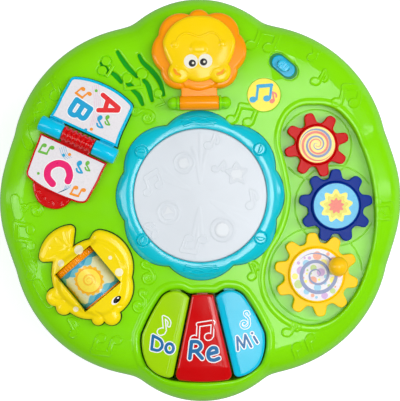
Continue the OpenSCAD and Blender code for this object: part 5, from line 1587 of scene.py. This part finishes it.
def build_gears():
    """The three gears with their labels, and the ball knob."""
    rng = random.Random(7)
    for name, (at, teeth, root, tip, phase, hub, colour) in GEARS.items():
        m = Moulding()
        loop = spaced(gear_line(teeth, root, tip, phase), 0.7)
        line = Relief()
        line.groove(circle((0, 0), hub + 0.5, 160), 0.5, 0.5, True)
        m.plate(loop, GEAR_Z, GEAR_TOP, 0.8, 4, relief=line)
        m.lathe([
            (hub - 1.5, HUB_TOP - 0.5), (hub - 1.4, HUB_TOP - 0.1), (hub - 0.9, HUB_TOP),
            (hub - 0.4, HUB_TOP - 0.15), (hub, HUB_TOP - 0.7), (hub, GEAR_TOP - 0.4),
        ], count=128)
        body = name + "_gear_body"
        slot = {"red": "red_plastic", "blue": "blue_plastic", "yellow": "yellow_plastic"}[name]
        m.moved(at).piece(name + "_wheel", colour, slot, name + "_gear", body=body)
        s = Moulding()
        r = hub - 1.5
        z = HUB_TOP - 0.2
        s.area(circle((0, 0), r, 128), z)
        if name == "red":
            s.print(swirl(2.4, 0.5, r - 0.6, 2.3, 200), z + 0.03, 1)
            s.print(swirl(2.4, 0.5, r - 0.6, 2.3, 55), z + 0.06, 2)
        elif name == "blue":
            s.print(wavy(9, 13.6, 1.9, 10), z + 0.03, 1)
            s.print(wavy(9, 10.2, 1.4, 10), z + 0.06, 3)
            s.print(wavy(9, 6.4, 1.0, 10), z + 0.09, 2)
        else:
            spots = []
            for attempt in range(500):
                size = (3.9, 3.2, 2.4, 1.6, 1.1)[attempt // 100] * rng.uniform(0.85, 1.1)
                reach, a = rng.uniform(3, r), rng.uniform(0, 2 * math.pi)
                spot = np.array([reach * math.cos(a), reach * math.sin(a)])
                few = len([1 for _, q in spots if abs(q - size) < 0.4]) < 9
                if few and reach + size < r - 0.2 and all(np.hypot(*(spot - p)) > size + q + 0.6 for p, q in spots):
                    spots.append((spot, size))
            for k, (spot, size) in enumerate(spots):
                s.print(circle(spot, size, 22), z + 0.03, 2 + k % 5)
            s.print(swirl(2.7, 0.6, r - 3.0, 3.4, 250), z + 0.06, 1)
        inks = {
            "red": "label_cream ink_coral ink_grey",
            "blue": "ink_sky label_straw ink_coral ink_straw",
            "yellow": "paper ink_grey ink_peach ink_sky_pale ink_leaf ink_lilac label_straw",
        }[name]
        s.moved(at).piece(name + "_disc", inks, "printed_label", name + "_gear_label", body=body)
    k = Moulding()
    base = HUB_TOP + 0.3
    centre = base + 3 + 6.75
    profile = [(9 * math.sin(math.radians(a)), centre + 9 * math.cos(math.radians(a))) for a in range(0, 145, 4)]
    k.lathe(profile + [(5, base + 2.4), (5, base + 0.5), (4.6, base), (2.7, base)], KNOB_AT, 96)
    k.piece("ball_knob", "knob", "yellow_plastic", "gear_knob", body="knob")


# ---- Switch, badge, insides ----


def build_switch():
    """The power switch: its bed, the gap round it and its thumb piece."""
    m = Moulding()
    slot_hole = spaced(pill(12.6, 5.6), 0.8)[::-1]
    m.plate(spaced(pill(24.2, 13), 0.8), DECK - 2, DECK - 0.4, 0.5, 3, holes=[slot_hole], hole_r=0.2, closed=False)
    m.moved(SWITCH_AT, SWITCH_TURN)
    m.piece("switch_bed", "bed", "cyan_plastic", "switch_plate")
    ring = Moulding()
    outer, inner = (placed(pill(*size), SWITCH_AT, SWITCH_TURN) for size in ((29.6, 15.4), (13.2, 6.2)))
    # dark ring of painted shade on the recess floor round the bed
    ring.area(outer, DECK - 1.86, [inner[::-1]])
    ring.piece("switch_recess_shade", "shade_green", "green_shell")
    s = Moulding()
    ribs = Relief()
    for x in (-2.4, 0, 2.4):
        ribs.line([(x, -2.6), (x, 2.6)], 0.6, 0.5)
    s.plate(spaced(pill(12, 9), 0.6), DECK - 0.1, DECK + 3.0, 1.1, 5, relief=ribs)
    low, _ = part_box("switch_slider")
    s.lathe([(2.3, DECK + 0.2), (2.3, low.z / MM + 0.3), (2.0, low.z / MM), (0, low.z / MM)], count=32)
    s.moved(SWITCH_AT, SWITCH_TURN)
    s.piece("switch_thumb", "thumb", "cyan_plastic", "switch_slider", body="slider")


def build_badge():
    """The round badge with its printed notes."""
    m = Moulding()
    r = BADGE_R
    m.lathe([
        (0.01, DECK - 0.1), (r * 0.5, DECK - 0.1), (r - 0.3, DECK - 0.12), (r, DECK - 0.4), (r, DECK - 0.9),
    ], BADGE_AT, 96)
    notes = [(line, half * 0.9) for line, half in beamed_notes(BADGE_AT + [-3.0, 1.5], 0.95, -8)]
    print_strokes(m, notes, DECK - 0.06, 1)
    print_strokes(m, eighth_note(BADGE_AT + [7.5, -6], 0.55, 10), DECK - 0.06, 2)
    m.piece("badge_disc", "label_yellow ink_blue ink_coral", "printed_label", "round_badge")


def build_insides():
    """Finishes of the screws, pins, springs, boards and other parts inside, each with softened edges."""
    for finish, names in (
        ("steel", "housing_screws lion_hinge_pin book_hinge_pin roller_axle key_hinge_rod gear_screws "
                  "speaker_magnet battery_door_screw"),
        ("mirror", "lion_mirror"), ("white_shell", "drum_tray roller_cradle"),
        ("board", "drum_light_board key_board main_board"),
        ("black_shell", "switch_body speaker_frame"),
        ("cone", "speaker_cone"), ("green", "battery_door"), ("cell", "battery_cells"),
    ):
        for name in names.split():
            part = NODES[name]
            part.data.materials.clear()
            part.data.materials.append(LOOKS[finish])
            edge = part.modifiers.new("soft_edge", "BEVEL")
            edge.width, edge.segments, edge.limit_method, edge.angle_limit = 0.2 * MM, 2, "ANGLE", math.radians(40)


# ---- Stage ----


def build_stage():
    """The floor, the studio light and the camera."""
    scene = bpy.context.scene
    mesh = bpy.data.meshes.new("floor")
    mesh.from_pydata([(-6, -6, 0), (6, -6, 0), (6, 6, 0), (-6, 6, 0)], [], [(0, 1, 2, 3)])
    floor = added("floor", mesh)
    s = Shader("floor_white")
    path = s.node("ShaderNodeLightPath").outputs
    mesh.materials.append(s.finish({
        "Base Color": s.mix(path["Is Glossy Ray"], (0.93, 0.93, 0.93, 1), (0.4, 0.4, 0.4, 1)),
        "Roughness": 0.9,
        "Specular IOR Level": 0.0,
        "Emission Color": (1, 1, 1, 1),
        "Emission Strength": s.span(path["Is Camera Ray"], 0, 1, 0, FLOOR_LIFT),
    }))
    world = bpy.data.worlds.new("studio")
    scene.world = world
    world.use_nodes = True
    tree = world.node_tree
    back = tree.nodes["Background"]
    back.inputs["Color"].default_value = (0.97, 0.985, 1.0, 1)
    path = tree.nodes.new("ShaderNodeLightPath")
    level = tree.nodes.new("ShaderNodeMapRange")
    level.inputs["To Min"].default_value = SKY
    level.inputs["To Max"].default_value = SKY_IN_GLOSS
    tree.links.new(path.outputs["Is Glossy Ray"], level.inputs["Value"])
    tree.links.new(level.outputs["Result"], back.inputs["Strength"])
    for name, at, size, turn, bright, mirrored in LIGHTS:
        light = bpy.data.lights.new(name, "AREA")
        light.shape = "RECTANGLE"
        light.size, light.size_y = size
        light.energy = bright * math.pi * size[0] * size[1]
        lamp = added(name, light)
        lamp.visible_glossy = mirrored
        lamp.location = at
        aim = (Vector((0, 0, DECK * MM)) - Vector(at)).to_track_quat("-Z", "Y").to_euler()
        lamp.rotation_euler = (0, 0, math.radians(turn)) if name == "overhead" else aim
    lens = bpy.data.cameras.new("camera")
    lens.lens, lens.sensor_width, lens.clip_start = LENS, 36, 0.05
    camera = added("camera", lens)
    camera.location = [c * MM for c in CAMERA_AT]
    camera.rotation_euler = (0, 0, math.radians(CAMERA_ROLL))
    scene.camera = camera
    scene.view_settings.view_transform = "Standard"


# ---- Add-on ----

FINISHES = {  # kind, colour and what differs from the kind
    "pad": (plastic, (222, 228, 234), {"rough": 0.34, "deep": 0.25}),
    "pad_light": (plastic, (230, 235, 239), {"rough": 0.34, "deep": 0.25}),
    "book_cyan": (plastic, (0, 200, 238)),
    "key_cyan": (plastic, (0, 196, 230)),
    "bed": (plastic, (0, 176, 216)),
    "thumb": (plastic, (40, 200, 240), {"gloss": 1.0}),
    "lime": (plastic, (164, 218, 0)),
    "blue": (plastic, (0, 45, 142), {"gloss": 0.12, "coat": 0.0}),
    "gear_red": (plastic, (204, 0, 4), {"gloss": 0.14, "coat": 0.0}),
    "gear_yellow": (plastic, (255, 208, 0), {"gloss": 0.16, "coat": 0.0}),
    "lemon": (plastic, (255, 226, 6)),
    "knob": (plastic, (255, 198, 8), {"rough": 0.2}),
    "leg": (plastic, (0, 180, 215)),
    "white_shell": (plastic, (232, 232, 230), {"rough": 0.3}),
    "black_shell": (plastic, (30, 30, 32), {"rough": 0.35}),
    # sheet under the speaker slots: its darker green is painted shade for the slots' insides
    "grille": (plastic, (22, 164, 30), {"rough": 0.5, "gloss": 0.1, "coat": 0.0}),
    # painted shade for the gap round the switch bed
    "shade_green": (plastic, (22, 138, 62), {"rough": 0.4}),
    # painted contact shade: the dark band laid on the deck round pieces
    "seam": (rubber, (18, 58, 6), {"rough": 0.7}),
    "foot": (rubber, (250, 130, 20)),
    "dome_rubber": (rubber, (205, 205, 200)),
    "cone": (paper, (60, 58, 56), {"rough": 0.8}),
    "steel": (metal, (205, 207, 210), {"bare": 0.8}),
    "mirror": (metal, (206, 212, 218), {"rough": 0.08, "bare": 0.45}),
    "cell": (metal, (190, 160, 90), {"rough": 0.3}),
    "board": (board, (20, 110, 60)),
}
INKS = {  # printed films of one colour
    "white": (250, 250, 250), "eye_white": (240, 236, 218), "dot": (248, 240, 196), "glow": (222, 226, 190),
    "label_cream": (252, 230, 130), "label_straw": (250, 236, 110), "ink_straw": (228, 216, 84),
    "ink_peach": (238, 165, 135), "ink_leaf": (190, 214, 130), "ink_sky_pale": (150, 205, 230),
    "ink_wave": (110, 190, 205), "black": (18, 16, 18), "cream": (255, 246, 170), "paper": (234, 230, 233),
    "label_yellow": (255, 236, 60), "ink_red": (235, 35, 40), "ink_blue": (0, 165, 215),
    "ink_deep": (0, 108, 168), "ink_pink": (240, 0, 110), "ink_green": (110, 190, 60),
    "ink_orange": (250, 150, 30), "ink_line": (150, 195, 225), "ink_rose": (238, 205, 220),
    "ink_sky": (90, 190, 230), "ink_coral": (236, 122, 104), "ink_grey": (130, 145, 185),
    "ink_lilac": (205, 165, 215), "ink_teal": (50, 155, 190), "ink_sun": (250, 190, 30),
    "ink_lemon": (255, 228, 70),
}


def setting(name):
    """A size from the sidebar, in millimetres."""
    return getattr(bpy.context.scene.activity_table, name) / MM


class Looks(dict):
    """Materials by name, made when first asked for."""

    def __missing__(self, key):
        if key in INKS:
            self[key] = paper(key, INKS[key])
        elif key in FINISHES:
            kind, rgb, *options = FINISHES[key]
            self[key] = kind(key, rgb, **dict(*options))
        else:
            rgb = [round(255 * c) for c in getattr(bpy.context.scene.activity_table, key)]
            self[key] = plastic(key + "_shell", rgb, gloss=SHINE.get(key, 0.5))
        return self[key]


LOOKS = Looks()


def colour_setting(label, doc, default):
    """A display colour for the sidebar."""
    return FloatVectorProperty(name=label, description=doc, subtype="COLOR_GAMMA", size=3, min=0, max=1,
                               default=default)


def length_setting(label, doc, low, high, default):
    """A length in metres for the sidebar."""
    return FloatProperty(name=label, description=doc, unit="LENGTH", min=low, max=high, precision=5,
                         default=default)


class TableSettings(PropertyGroup):
    """Sizes and colours that a user would change."""

    green: colour_setting("Shell colour", "Colour of the panel and the housing", (0.53, 0.892, 0.0))
    orange: colour_setting("Mane colour", "Colour of the lion's mane and the picture drum", (1.0, 0.61, 0.0))
    yellow: colour_setting("Face colour", "Colour of the lion's face", (1.0, 0.845, 0.0))
    red: colour_setting("Red", "Colour of the middle key and the book's page", (0.84, 0.0, 0.015))
    bezel: colour_setting("Bezel colour", "Colour of the ring round the drum pad", (0.0, 0.79, 0.863))
    note_height: length_setting("Note height", "Height of the notes moulded on the panel", 0.0, 0.0015, 0.0009)
    rib_depth: length_setting("Rib depth", "Depth of the waves round the book's hinge barrel", 0.0, 0.002, 0.0013)
    key_round: length_setting("Key edge radius", "Radius of the upper edges of the three keys",
                              0.0005, 0.003, 0.0021)
    pad_crown: length_setting("Pad crown", "How far the middle of the drum pad rises above its edge",
                              0.0, 0.0015, 0.0011)


def operator(name, label, doc, *builders):
    """Operator class that runs the builders of one group of pieces."""

    def execute(self, context):
        for build in builders:
            build()
        return {"FINISHED"}

    return type("TABLE_OT_" + name, (Operator,), {
        "bl_idname": "activity_table." + name, "bl_label": label, "__doc__": doc, "execute": execute,
    })


OPERATORS = [
    operator("shells", "Build shells", "Adds the panel, the housing and the flap posts",
             build_panel, build_housing, build_flap_posts),
    operator("legs", "Build legs", "Adds the four legs and their feet", build_legs),
    operator("drum", "Build drum", "Adds the drum's bezel and pad", build_bezel, build_pad, build_springs),
    operator("lion", "Build lion", "Adds the lion flap", build_lion),
    operator("book", "Build book", "Adds the two-page book", build_book),
    operator("fish", "Build fish", "Adds the fish and its picture roller", build_fish),
    operator("keys", "Build keys", "Adds the three keys and the domes under them", build_keys, build_domes),
    operator("gears", "Build gears", "Adds the three gears and the knob", build_gears),
    operator("trims", "Build trims", "Adds the switch and the badge", build_switch, build_badge),
    operator("insides", "Finish the insides", "Finishes the screws, pins, springs and boards", build_insides),
    operator("stage", "Build stage", "Adds the floor, the lights and the camera", build_stage),
]


class TABLE_PT_panel(Panel):
    """Sidebar panel with the settings and one button for each group of pieces."""

    bl_label = "Activity Table"
    bl_space_type = "VIEW_3D"
    bl_region_type = "UI"
    bl_category = "Activity Table"

    def draw(self, context):
        for name in TableSettings.__annotations__:
            self.layout.prop(context.scene.activity_table, name)
        for kind in OPERATORS:
            self.layout.operator(kind.bl_idname)


CLASSES = [TableSettings, *OPERATORS, TABLE_PT_panel]


def register():
    """Adds the settings, operators and panel to Blender."""
    for kind in CLASSES:
        bpy.utils.register_class(kind)
    bpy.types.Scene.activity_table = PointerProperty(type=TableSettings)


def unregister():
    """Takes them away again."""
    del bpy.types.Scene.activity_table
    for kind in reversed(CLASSES):
        bpy.utils.unregister_class(kind)


def main():
    """Builds the table, then writes down the frame's box and the built one."""
    register()
    for kind in OPERATORS:
        getattr(bpy.ops.activity_table, kind.bl_idname.split(".")[1])()


if __name__ == "__main__":
    main()
